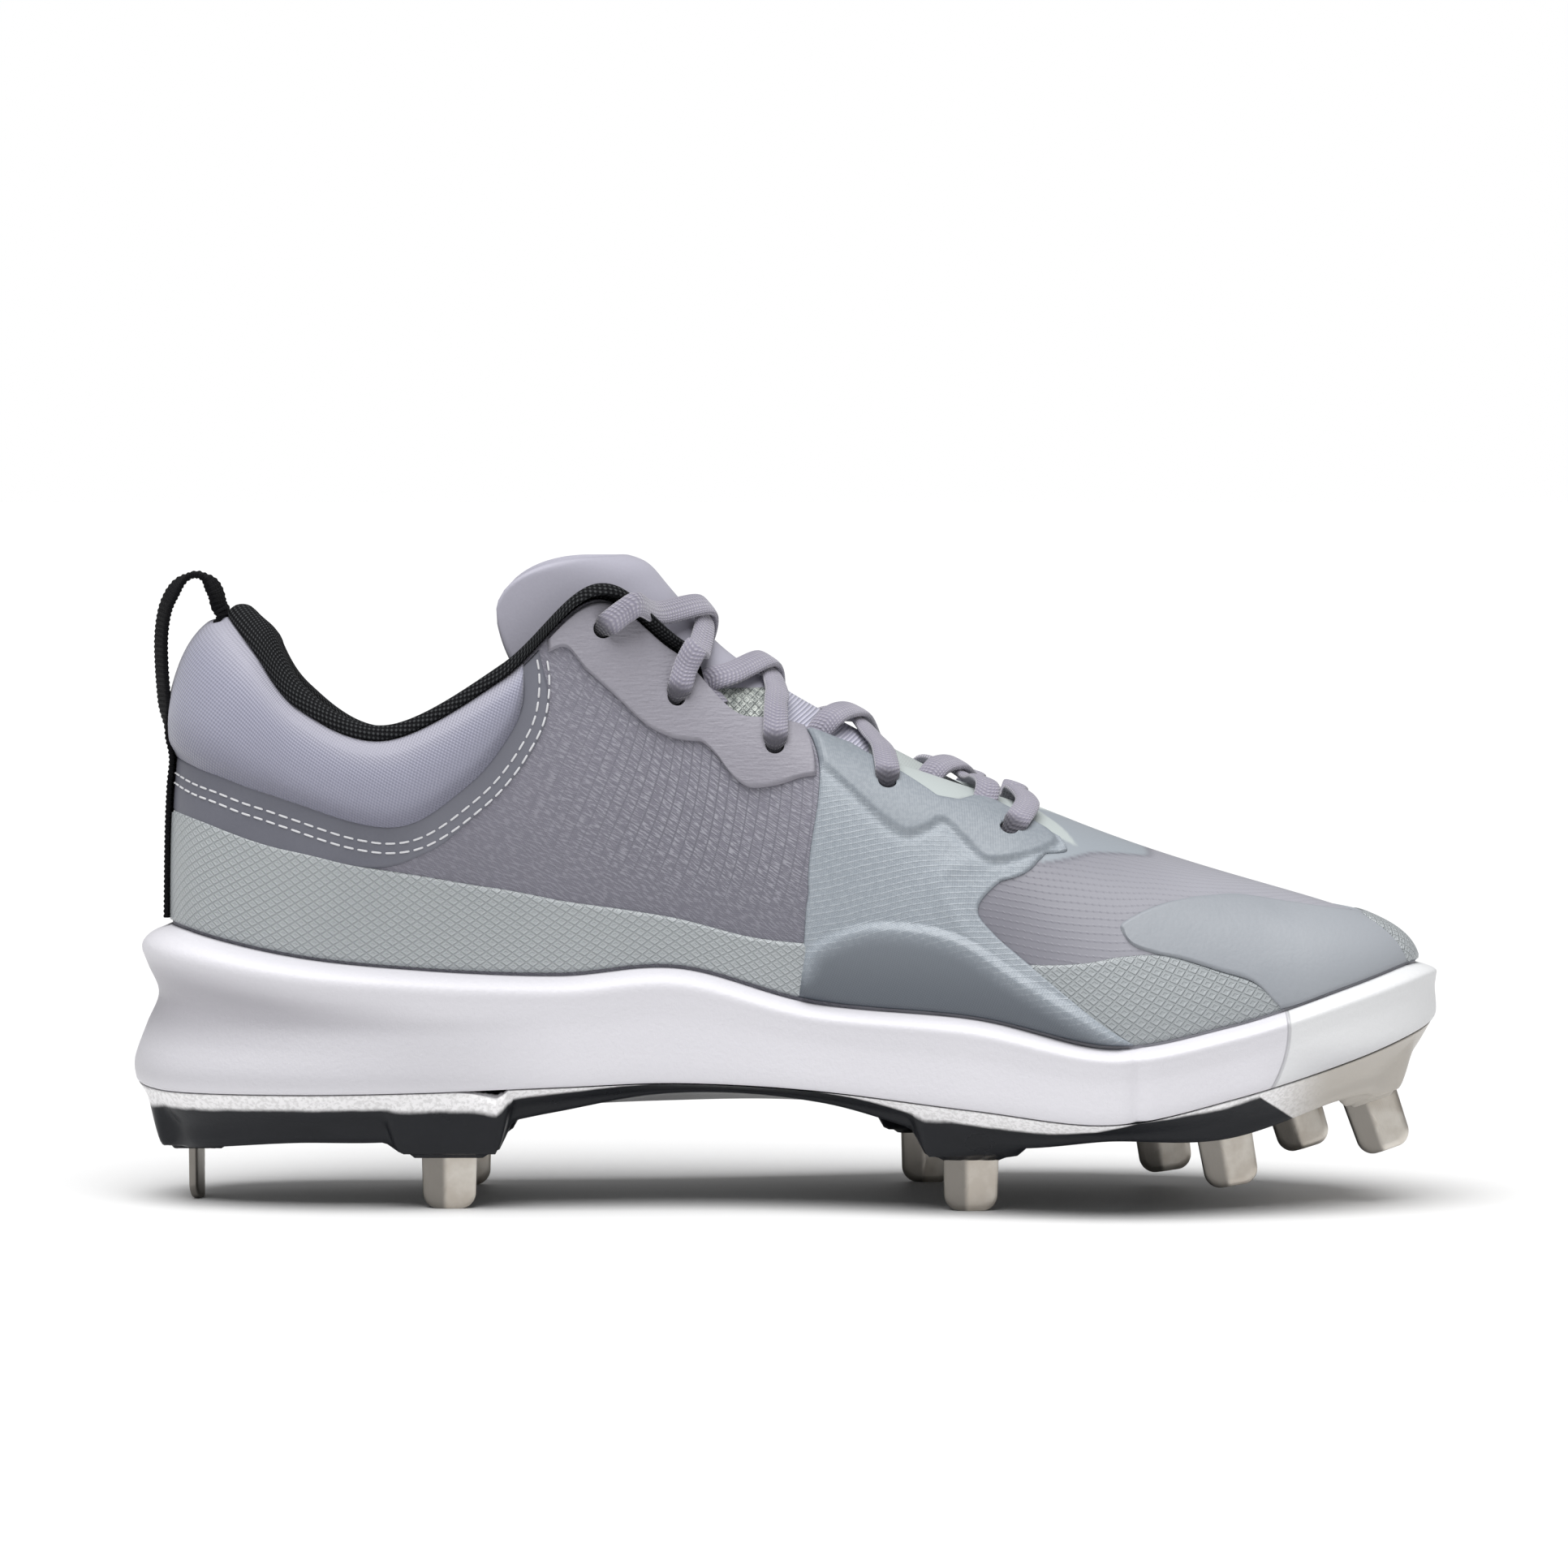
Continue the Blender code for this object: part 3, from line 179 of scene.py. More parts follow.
def smooth(low, high, value):
    """0 below low, 1 above high, and 3t^2 - 2t^3 between."""
    t = np.clip((value - low) / (high - low), 0, 1)
    return t * t * (3 - 2 * t)


def unit(vectors):
    """Each vector divided by its own length."""
    return vectors / np.maximum(np.linalg.norm(vectors, axis=-1, keepdims=True), 1e-12)


# %% Outline, bite line and the upper's surface
BITE, FOAM, PLATE, FOOTBED = 2, 3, 4, 5  # columns of the sole's table
GROOVE_END = 0.33
RIM_ON_SIDES = 0.53  # the rim's inset along the sides and toe, as a share of its inset at the heel


def plan(around):
    """The sole's widest outline: x from the middle of the shoe, and y."""
    table = closed_spline(SOLE[:, :2], around)
    return np.stack([(table[..., 0] - 0.5) * LENGTH, table[..., 1] * HALF_BALL], axis=-1)


def plan_outward(around):
    """Unit vector square to the outline: the outline's direction turned a quarter turn."""
    along = plan(np.asarray(around) + 0.05) - plan(np.asarray(around) - 0.05)
    return unit(np.stack([along[..., 1], -along[..., 0]], axis=-1))


def sole(column, around):
    """Height above the floor of one column of the sole's table."""
    return STUD_DROP + closed_spline(SOLE[:, column], around) * SOLE_THICKNESS


def heel_share(around):
    """1 at the back of the heel, and 0 where the groove in the foam ends."""
    return 1 - smooth(0, GROOVE_END, closed_spline(SOLE[:, 0], around))


def ring(around, inset, height):
    """Points an inset inside the outline, at a height."""
    flat = plan(around) - plan_outward(around) * np.asarray(inset)[..., None]
    return np.concatenate([flat, np.broadcast_to(height, flat.shape[:-1])[..., None]], axis=-1)


def rim_inset(around):
    """How far the foam's upper rim lies inside the outline: the whole at the heel, less along the sides."""
    weight = heel_share(around)
    return RIM_INSET * (weight + RIM_ON_SIDES * (1 - weight))


def upper_point(around, up):
    """The upper's outer surface. Each rib is a Bezier curve from the bite line to the opening's edge:
    foot(1-u)^3 + 3 low u(1-u)^2 + 3 high u^2(1-u) + edge u^3."""
    around, up = np.broadcast_arrays(np.asarray(around, float), np.asarray(up, float))
    table = closed_spline(RIBS, around)
    along, across, heel, instep, lean, rise, pull, bulge, drop = np.moveaxis(table, -1, 0)
    foot = ring(around, rim_inset(around) + CLEARANCE, sole(BITE, around))
    edge = np.stack([(along - 0.5) * LENGTH, across * HALF_BALL,
                     SOLE_TOP + heel * HEEL_RISE + instep * INSTEP_RISE], axis=-1)
    flat = plan_outward(around)
    outward = np.concatenate([flat, np.zeros(flat.shape[:-1] + (1,))], axis=-1)
    height = np.zeros_like(edge)
    height[..., 2] = (edge - foot)[..., 2]
    level = (foot - edge) * np.array([1.0, 1.0, 0.0])
    low = foot + outward * (lean * HALF_BALL)[..., None] + height * rise[..., None]
    high = edge + level * pull[..., None] + outward * (bulge * HALF_BALL)[..., None] - height * drop[..., None]
    u = up[..., None]
    return foot * (1 - u)**3 + 3 * low * u * (1 - u)**2 + 3 * high * u**2 * (1 - u) + edge * u**3


def upper_directions(around, up, step=0.02):
    """Forward and upward directions on the surface per unit of around and up, and the outward normal."""
    forward = (upper_point(around + step, up) - upper_point(around - step, up)) / (2 * step)
    rising = (upper_point(around, up + step) - upper_point(around, up - step)) / (2 * step)
    return forward, rising, unit(np.cross(forward, rising))


def skin(around, up, out=0.0):
    """The upper's surface moved out along its normal."""
    around, up = np.broadcast_arrays(np.asarray(around, float), np.asarray(up, float))
    normal = upper_directions(around, up)[2]
    return upper_point(around, up) + normal * np.broadcast_to(out, around.shape)[..., None]


COLLAR_FRONT = 5.0  # station of the collar's front corner
corner = skin(np.array([COLLAR_FRONT]), np.array([1.0]))[0]
print("collar's front corner", [round(float(v) / MM, 1) for v in corner], "mm")

# %% [markdown]
# ## Measures on the surface
#
# A weave has the same size everywhere on a shoe, so patterns need coordinates in metres, not in stations. Two
# lengths are tabulated once: how far round the shoe a place lies, and how far up its rib. They become each
# piece's UV map. Stitches run beside a seam, so a step sideways in metres has to be turned back to a place.

# %% Lengths round the shoe and up the ribs
def walked(line):
    """Length walked along a line of points up to each of them: 0, then the running sum of the steps."""
    return np.concatenate([[0.0], np.cumsum(np.linalg.norm(np.diff(line, axis=0), axis=1))])


GIRTH_UP = 0.3  # share of the ribs at which lengths round the shoe are taken
TABLE_AROUND = np.linspace(0, STATIONS, 481)
TABLE_UP = np.linspace(0, 1.1, 56)
table_points = upper_point(TABLE_AROUND[:, None], TABLE_UP[None, :])
steps_up = np.linalg.norm(np.diff(table_points, axis=1), axis=2)
RIB_LENGTH = np.concatenate([np.zeros((len(TABLE_AROUND), 1)), np.cumsum(steps_up, axis=1)], axis=1)
GIRTH = walked(upper_point(TABLE_AROUND, GIRTH_UP))


def cloth_uv(around, up):
    """Metres round the shoe at a third of its height, and metres up the rib, read from the tables by halves."""
    around, up = np.broadcast_arrays(np.asarray(around, float), np.asarray(up, float))
    turn = np.floor(around / STATIONS)
    place = (around - turn * STATIONS) / STATIONS * (len(TABLE_AROUND) - 1)
    row = np.clip(up / TABLE_UP[1], 0, len(TABLE_UP) - 1.001)
    i, j = np.clip(place.astype(int), 0, len(TABLE_AROUND) - 2), row.astype(int)
    s, t = place - i, row - j
    rise = ((RIB_LENGTH[i, j] * (1 - s) + RIB_LENGTH[i + 1, j] * s) * (1 - t)
            + (RIB_LENGTH[i, j + 1] * (1 - s) + RIB_LENGTH[i + 1, j + 1] * s) * t)
    return np.stack([GIRTH[i] * (1 - s) + GIRTH[i + 1] * s + turn * GIRTH[-1], rise], axis=-1)


def section_uv(around, points):
    """UV of a section carried round the shoe: metres round it, and metres walked along the section's rows."""
    rows = np.cumsum(np.linalg.norm(np.diff(points, axis=0, prepend=points[:1]), axis=2), axis=0)
    return np.stack([np.broadcast_to(cloth_uv(around, GIRTH_UP)[:, 0], rows.shape), rows], axis=-1)


def beside(around, up, distance):
    """Places moved sideways, square to a line on the surface, by a distance in metres. The step in space is
    turned into a step in around and up with the surface's two directions, as a two by two equation."""
    forward, rising, normal = upper_directions(around, up)
    line = upper_point(around, up)
    sideways = unit(np.cross(normal, unit(np.gradient(line, axis=0)))) * distance
    a, b, d = (np.sum(x * y, axis=-1) for x, y in ((forward, forward), (forward, rising), (rising, rising)))
    p, q = np.sum(forward * sideways, axis=-1), np.sum(rising * sideways, axis=-1)
    det = a * d - b * b
    return around + (p * d - q * b) / det, up + (q * a - p * b) / det


print("girth", round(GIRTH[-1] / MM), "mm; rib at the collar's front",
      round(float(cloth_uv(COLLAR_FRONT, 1.0)[1]) / MM), "mm")

# %% [markdown]
# ## Putting grids into meshes
#
# Every piece is a grid of points. Its faces are index arithmetic, and where two borders of the grid fall on each
# other, they are merged, which closes the surface. A film is an outer and an inner grid that meet at the border.

# %% Grid to mesh
def grid_faces(rows, columns, first=0):
    """Quads of a grid: each corner with its right, upper right and upper neighbour."""
    corner = (np.arange(rows - 1)[:, None] * columns + np.arange(columns - 1)[None, :]).ravel() + first
    return np.stack([corner, corner + 1, corner + columns + 1, corner + columns], axis=1)


def add_piece(name, points, faces, uv, finish, slot, nodes=(), merge=2e-6, sharp=None, marks=None):
    """One closed mesh that rides on the shoe, with a UV map in metres and named values at its points."""
    mesh = bpy.data.meshes.new(name)
    mesh.vertices.add(len(points))
    mesh.vertices.foreach_set("co", np.asarray(points, np.float32).ravel())
    mesh.loops.add(faces.size)
    mesh.loops.foreach_set("vertex_index", faces.astype(np.int32).ravel())
    mesh.polygons.add(len(faces))
    sides = faces.shape[1]
    mesh.polygons.foreach_set("loop_start", np.arange(0, faces.size, sides, dtype=np.int32))
    mesh.polygons.foreach_set("loop_total", np.full(len(faces), sides, np.int32))
    mesh.update(calc_edges=True)
    layer = mesh.uv_layers.new(name="UVMap")
    layer.data.foreach_set("uv", np.asarray(uv, np.float32)[faces.ravel()].ravel())
    for mark, values in (marks or {}).items():
        mesh.attributes.new(mark, "FLOAT", "POINT").data.foreach_set("value", np.asarray(values, np.float32))
    shape = bmesh.new()
    shape.from_mesh(mesh)
    bmesh.ops.remove_doubles(shape, verts=shape.verts, dist=merge)
    bmesh.ops.dissolve_degenerate(shape, edges=shape.edges, dist=merge / 2)
    bmesh.ops.recalc_face_normals(shape, faces=shape.faces)
    if shape.calc_volume(signed=True) < 0:
        bmesh.ops.reverse_faces(shape, faces=shape.faces)
    shape.to_mesh(mesh)
    shape.free()
    mesh.shade_smooth()
    if sharp:
        mesh.set_sharp_from_angle(angle=math.radians(sharp))
    mesh.materials.append(finish)
    piece = add_object(name, mesh)
    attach(piece, "root")
    if nodes:
        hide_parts(*nodes)
    return piece


def add_grid(name, points, uv, finish, slot, nodes=(), marks=None, **options):
    """A piece from one grid of points, with its marks as grids of the same size."""
    rows, columns = points.shape[:2]
    marks = {mark: values.ravel() for mark, values in (marks or {}).items()}
    return add_piece(name, points.reshape(-1, 3), grid_faces(rows, columns), uv.reshape(-1, 2), finish, slot,
                     nodes, marks=marks, **options)


def add_slab(name, outer, inner, uv, finish, slot, nodes=(), marks=None):
    """A piece from an outer and an inner grid whose borders fall on each other. Both share the UVs and marks."""
    rows, columns = outer.shape[:2]
    faces = np.concatenate([grid_faces(rows, columns), grid_faces(rows, columns, rows * columns)[:, ::-1]])
    points = np.concatenate([outer.reshape(-1, 3), inner.reshape(-1, 3)])
    marks = {mark: np.concatenate([values.ravel()] * 2) for mark, values in (marks or {}).items()}
    return add_piece(name, points, faces, np.concatenate([uv.reshape(-1, 2)] * 2), finish, slot, nodes, marks=marks)


def add_row(name, grids, uv_axes, finish, slot):
    """One mesh of many small grids of the same size, each numbered on from the one before it."""
    count, rows, columns = grids.shape[:3]
    faces = grid_faces(rows, columns)[None] + (np.arange(count) * rows * columns)[:, None, None]
    points = grids.reshape(-1, 3)
    return add_piece(name, points, faces.reshape(-1, 4), points[:, uv_axes], finish, slot)


def swept_strap(path, side, out, wide, thick, powers, sides, uv_round):
    """Points and UVs of a flat section carried along a path. The section is a superellipse, cos^p across and
    sin^q through, times its width and thickness, which may change along the path. Its ends close to points."""
    theta = np.linspace(0, 2 * math.pi, sides + 1)
    across, through = (np.sign(wave) * np.abs(wave)**power / 2
                       for wave, power in zip((np.cos(theta), np.sin(theta)), powers))
    wide, thick = (np.broadcast_to(size, len(path))[:, None, None] for size in (wide, thick))
    points = path[:, None] + side[:, None] * across[:, None] * wide + out[:, None] * through[:, None] * thick
    first, last = (np.repeat(path[[end], None], sides + 1, axis=1) for end in (0, -1))
    length = np.pad(walked(path), 1, mode="edge")
    uv = np.stack(np.broadcast_arrays(length[:, None], theta / (2 * math.pi) * uv_round), axis=-1)
    return np.concatenate([first, points, last]), uv


def edge_gap(points):
    """Distance of each grid point from the grid's borders, measured along the grid's lines. The four distances
    are joined as (sum of 1/d^3)^(-1/3), which is close to the least of them and has no ridge."""
    total = 0.0
    tiny = 1e-7
    for axis in (0, 1):
        lengths = np.linalg.norm(np.diff(points, axis=axis), axis=2)
        start = np.zeros_like(np.take(points[..., 0], [0], axis=axis))
        so_far = np.concatenate([start, np.cumsum(lengths, axis=axis)], axis=axis)
        for gap in (so_far, np.take(so_far, [-1], axis=axis) - so_far):
            total = total + 1 / np.maximum(gap, tiny)**3
    return total**(-1 / 3) - tiny


def clustered(count, first, second):
    """Shares from 0 to 1, with two extra ones close to each end."""
    return np.concatenate([[0.0, first], np.linspace(second, 1 - second, count), [1 - first, 1.0]])


print("grid tools ready")

# %% [markdown]
# ## Shader maths
#
# A weave, a grain or a mask is arithmetic on coordinates. A small class wraps a node's output, so that such maths
# reads as a Python expression, and each operator adds the Math node it stands for. Colours never pass through a
# Math node, which would turn them grey: they go through Mix.

# %% A socket that does arithmetic, and a finish to build on
class Wire:
    """One output socket. Operators add Math nodes; a number stays a number on the node's own socket."""

    def __init__(self, finish, socket):
        self.finish, self.socket = finish, socket

    def maths(self, operation, *values):
        return self.finish.node("ShaderNodeMath", {"operation": operation}, dict(enumerate((self, *values))))

    def __add__(self, other):
        return self.maths("ADD", other)

    def __sub__(self, other):
        return self.maths("SUBTRACT", other)

    def __mul__(self, other):
        return self.maths("MULTIPLY", other)

    def __truediv__(self, other):
        return self.maths("DIVIDE", other)

    def __rsub__(self, other):
        return (self * -1.0) + other

    def __abs__(self):
        return self.maths("ABSOLUTE")

    __radd__, __rmul__ = __add__, __mul__

    def least(self, other):
        return self.maths("MINIMUM", other)

    def most(self, other):
        return self.maths("MAXIMUM", other)

    def wave(self):
        """Sine of the value in turns, brought to 0..1."""
        return (self * (2 * math.pi)).maths("SINE") * 0.5 + 0.5

    def zigzag(self):
        """Triangle wave of period 1, from 0 at whole numbers to 1 half-way."""
        return self.maths("PINGPONG", 0.5) * 2.0

    def step(self, low, high):
        """Smooth step from 0 at low to 1 at high."""
        return self.finish.node("ShaderNodeMapRange", {"interpolation_type": "SMOOTHSTEP"},
                                {"Value": self, "From Min": low, "From Max": high})


class Finish:
    """A Principled material. Fixed numbers go straight on the shader's sockets; what varies is wired in."""

    def __init__(self, name, **constants):
        self.material = bpy.data.materials.new(name)
        self.material.use_nodes = True
        self.tree = self.material.node_tree
        self.shader = self.tree.nodes["Principled BSDF"]
        for socket, value in constants.items():
            self.shader.inputs[socket.replace("_", " ")].default_value = value

    def put(self, socket, value):
        if isinstance(value, Wire):
            self.tree.links.new(value.socket, socket)
        elif value is not None:
            wide = hasattr(socket.default_value, "__len__") and len(socket.default_value) == 4 and len(value) == 3
            socket.default_value = (*value, 1.0) if wide else value

    def node(self, kind, settings=None, inputs=None, output=0):
        """Any node: its settings first, then the values or wires of its sockets."""
        made = self.tree.nodes.new(kind)
        for name, value in (settings or {}).items():
            if name == "stops":
                while len(made.color_ramp.elements) < len(value):
                    made.color_ramp.elements.new(0.5)
                for element, (place, colour) in zip(made.color_ramp.elements, value):
                    element.position, element.color = place, (*colour, 1.0)
            else:
                setattr(made, name, value)
        for name, value in (inputs or {}).items():
            self.put(made.inputs[name], value)
        return Wire(self, made.outputs[output])

    def uv(self):
        """The two UV coordinates, in metres."""
        place = self.node("ShaderNodeUVMap", {"uv_map": "UVMap"})
        split = self.node("ShaderNodeSeparateXYZ", {}, {0: place})
        return split, Wire(self, split.socket.node.outputs[1])

    def place(self):
        """Object coordinates as a vector, and as three values, in metres."""
        vector = self.node("ShaderNodeTexCoord", {}, {}, "Object")
        split = self.node("ShaderNodeSeparateXYZ", {}, {0: vector})
        return vector, split, Wire(self, split.socket.node.outputs[1]), Wire(self, split.socket.node.outputs[2])

    def mark(self, name):
        """Values that a piece carries at its points under this name."""
        return self.node("ShaderNodeAttribute", {"attribute_name": name}, {}, 2)

    def vector(self, x, y, z=0.0):
        return self.node("ShaderNodeCombineXYZ", {}, {0: x, 1: y, 2: z})

    def noise(self, vector, scale, detail=3.0, roughness=0.5):
        return self.node("ShaderNodeTexNoise", {}, {"Vector": vector, "Scale": scale, "Detail": detail,
                                                    "Roughness": roughness})

    def mix(self, share, first, second):
        """Colour from first to second as share goes from 0 to 1."""
        node = self.tree.nodes.new("ShaderNodeMix")
        node.data_type = "RGBA"
        self.put(node.inputs[0], share)
        self.put(node.inputs[6], first)
        self.put(node.inputs[7], second)
        return Wire(self, node.outputs[2])

    def bump(self, height, distance, normal=None):
        return self.node("ShaderNodeBump", {}, {"Height": height, "Distance": distance, "Normal": normal})

    def wire(self, **values):
        for socket, value in values.items():
            self.put(self.shader.inputs[socket.replace("_", " ")], value)
        return self.material


print("shader tools ready")

# %% [markdown]
# ## Finishes
#
# Each real material gets one procedural finish, with its own colour variation, weave or grain and gloss.

# %% Patterns that the finishes share
def turned(u, v, degrees):
    """The two coordinates turned by an angle."""
    c, s = math.cos(math.radians(degrees)), math.sin(math.radians(degrees))
    return u * c + v * s, v * c - u * s


def plain_weave(u, v, pitch):
    """Crossed threads: the product of two sines, high and low in turn like a chequer."""
    return ((u * (2 * math.pi / pitch)).maths("SINE") * (v * (2 * math.pi / pitch)).maths("SINE")) * 0.5 + 0.5


def lines(value, pitch, width):
    """1 on thin lines a pitch apart, fading out over their width, both in metres."""
    return 1.0 - (value / pitch).zigzag().step(0.0, 2 * width / pitch)


def diamonds(u, v, across, tall):
    """Raised rims of diamonds: 0 in the grooves between cells, 1 on the rim, lower again in each cell's middle."""
    cell = (u / across + v / tall).zigzag().least((u / across - v / tall).zigzag())
    return cell.step(0.06, 0.30) - cell.step(0.46, 0.74) * 0.6


# %% Finishes of the films and meshes
LILAC = (0.225, 0.215, 0.262)
LILAC_DARK = (0.105, 0.106, 0.130)
FILM_PALE = (0.430, 0.455, 0.470)
SILVER = (0.480, 0.480, 0.530)


def quarter_finish():
    """Three looks of the lasted skin. Behind the saddle it is ripstop under a sheer film, with a grid of brighter
    threads that shows best in the middle. Over the vamp the film is milky and wrinkles in low waves. Round the end of
    the throat, where the mark "instep" is 1, it is a pale plain film. Painted shade darkens the ripstop low on the
    side; the milky film is painted lighter towards the toe as a highlight, and darker in its wrinkles as shade."""
    made = Finish("quarter_ripstop", Roughness=0.55, Sheen_Weight=0.1)
    u, v = made.uv()
    vector, x, y, z = made.place()
    vamp = x.step(0.010, 0.022)
    a, b = turned(u, v, -32.0)
    grid = lines(a, 2.3 * MM, 0.30 * MM).most(lines(b, 2.3 * MM, 0.30 * MM))
    shows = x.step(-0.075, -0.02) * (1.0 - x.step(-0.012, 0.010) * 0.3) * v.step(0.020, 0.045)
    fine = plain_weave(a, b, 0.62 * MM)
    stroke = made.noise(made.vector(a * 600.0, b * 2000.0), 1.0, 1.0).step(0.45, 0.63)
    thread = stroke * (0.14 + shows * 0.30) * (1.0 - grid * shows)
    cloud = made.noise(vector, 35.0)
    # painted shade: the ripstop is darker low on the side and lighter up the rib, for the light from above
    body = made.mix(fine * 0.35 + cloud * 0.25 + v.step(0.012, 0.060) * 0.35, LILAC_DARK, LILAC)
    body = made.mix(grid * shows * 0.45, made.mix(thread, body, SILVER), LILAC_DARK)
    ripple = made.noise(made.vector(x * 90.0, y * 90.0, z * 60.0), 1.0, 1.0) * 1.6 * MM
    waves = lines(v + ripple + u * 0.10, 2.1 * MM, 0.5 * MM)
    dash = lines(u + v * 0.35, 1.6 * MM, 0.4 * MM) * waves
    # painted light on the milky film: lighter towards the toe as a highlight, and darker in its wrinkle lines as
    # shade
    shade = waves * 0.10 + cloud * 0.25 + (1.0 - x.step(0.035, 0.115)) * 0.68
    milky = made.mix(shade, (0.355, 0.355, 0.395), (0.130, 0.128, 0.155))
    pale = made.mix(cloud * 0.4 + fine * 0.15, (0.400, 0.440, 0.435), (0.480, 0.520, 0.515))
    instep, round_throat = made.mark("instep"), made.mark("round_throat")
    milky = made.mix(made.mark("oval_line") * 0.6, made.mix(round_throat, milky, (0.270, 0.298, 0.330)), LILAC_DARK)
    height = (fine * 0.3 + stroke * 0.5 - grid * shows * 0.5) * (1.0 - vamp)
    height = height + (waves * 0.22 + dash * 0.45) * vamp * (1.0 - instep) * (1.0 - round_throat)
    return made.wire(Base_Color=made.mix(instep, made.mix(vamp, body, milky), pale), Roughness=0.62 - vamp * 0.14,
                     Normal=made.bump(height, 0.12 * MM))


def saddle_finish():
    """Film pressed on a plain weave, with long ripstop lines where it isn't padded. Its pad by the sole is painted
    dark as shade under the lip, and lighter higher up the rib.
    """
    made = Finish("saddle_film", Roughness=0.45, Coat_Weight=0.12, Coat_Roughness=0.35)
    u, v = made.uv()
    vector = made.place()[0]
    a, b = turned(u, v, 16.0)
    weave = plain_weave(a, b, 0.72 * MM)
    smooth_part = made.mark("raised")
    wander = made.noise(made.vector(u * 60.0, v * 60.0), 1.0, 1.0) * 1.2 * MM
    rip = lines(b + wander, 1.35 * MM, 0.26 * MM).most(lines(a + b, 2.7 * MM, 0.25 * MM) * 0.4) * (1.0 - smooth_part)
    pad = made.mark("pad")
    glint = (made.noise(vector, 1100.0, 1.0) - 0.40).step(0.0, 0.2)
    cloud = made.noise(vector, 30.0)
    colour = made.mix(weave * 0.6 + cloud * 0.3, (0.225, 0.254, 0.288), (0.325, 0.360, 0.398))
    colour = made.mix(smooth_part * 0.9, colour, (0.205, 0.231, 0.261))
    # painted shade: the pad's down-facing body is painted dark, lighter higher up the rib
    padded = made.mix(weave * 0.25 + v.step(0.0, 0.022) * 0.6, (0.070, 0.083, 0.101), (0.190, 0.213, 0.242))
    colour = made.mix(pad, colour, padded)
    colour = made.mix(rip * (0.08 + glint * 0.26) + glint * (1.0 - pad) * 0.10, colour, (0.480, 0.515, 0.550))
    return made.wire(Base_Color=colour, Normal=made.bump(weave * (0.5 - pad * 0.3) + rip * 0.8, 0.09 * MM))


def diamond_finish(name, across, tall, pale=FILM_PALE):
    """Pale film moulded in small diamonds, each a rim round a shallow dish."""
    made = Finish(name, Roughness=0.42, Coat_Weight=0.15, Coat_Roughness=0.3)
    u, v = made.uv()
    vector = made.place()[0]
    cell = diamonds(u, v, across, tall)
    cloud = made.noise(vector, 40.0)
    colour = made.mix(cell * 0.7 + cloud * 0.3, (0.290, 0.315, 0.325), pale)
    return made.wire(Base_Color=colour, Normal=made.bump(cell, 0.28 * MM))


def grained_film(name, shade, colour, pores, depth, streak=(150.0, 150.0), roughness=0.5, brighter=None):
    """A plain film: fine pores, and streaks whose two scales are along the shoe and up it. It can get brighter
    towards the toe, between two places along the shoe."""
    made = Finish(name, Roughness=roughness, Coat_Weight=0.08, Coat_Roughness=0.4)
    vector, x, y, z = made.place()
    along, rise = streak
    fine = made.noise(vector, pores, 2.0)
    crinkle = made.noise(made.vector(x * along, y * along, z * rise), 1.0, 2.0)
    cloud = made.noise(vector, 25.0)
    share = fine * 0.3 + cloud * 0.35 + crinkle * 0.35
    if brighter is not None:
        share = share + x.step(*brighter) * 1.2
    return made.wire(Base_Color=made.mix(share, shade, colour), Normal=made.bump(fine * 0.5 + crinkle * 0.8, depth))


def satin_finish():
    """Lilac satin of the padded collar: rows of tiny floats set slantwise, which give it a soft sheen. Painted shade
    darkens it towards its seam, and a painted highlight lightens it just under the roll.
    """
    made = Finish("collar_satin", Roughness=0.5, Sheen_Weight=0.35, Sheen_Roughness=0.4)
    u, v = made.uv()
    a, b = turned(u, v, 24.0)
    floats = plain_weave(a, b, 1.0 * MM)
    cloud = made.noise(made.place()[0], 30.0)
    tone = made.mix(floats * 0.75 + cloud * 0.25, (0.195, 0.198, 0.262), (0.350, 0.350, 0.440))
    # painted shade: the panel darkens towards its seam, where its pad turns down
    tone = made.mix(made.mark("shade") * 0.55, tone, (0.110, 0.110, 0.150))
    # painted highlight: the panel lightens just under the roll
    tone = made.mix(made.mark("glow") * 0.5, tone, (0.400, 0.390, 0.440))
    return made.wire(Base_Color=tone, Normal=made.bump(floats, 0.14 * MM))


def knit_finish(name, shade, colour, pitch, depth, gloss=0.5):
    """Spacer knit: raised dots in rows, each row shifted by half a dot."""
    made = Finish(name, Roughness=0.8, Specular_IOR_Level=gloss)
    u, v = made.uv()
    a, b = turned(u, v, 45.0)
    dots = plain_weave(a, b, pitch)
    fuzz = made.noise(made.place()[0], 1500.0, 2.0)
    tone = made.mix(dots.step(0.45, 0.95) * 0.85 + fuzz * 0.15, shade, colour)
    return made.wire(Base_Color=tone, Normal=made.bump(dots + fuzz * 0.3, depth))


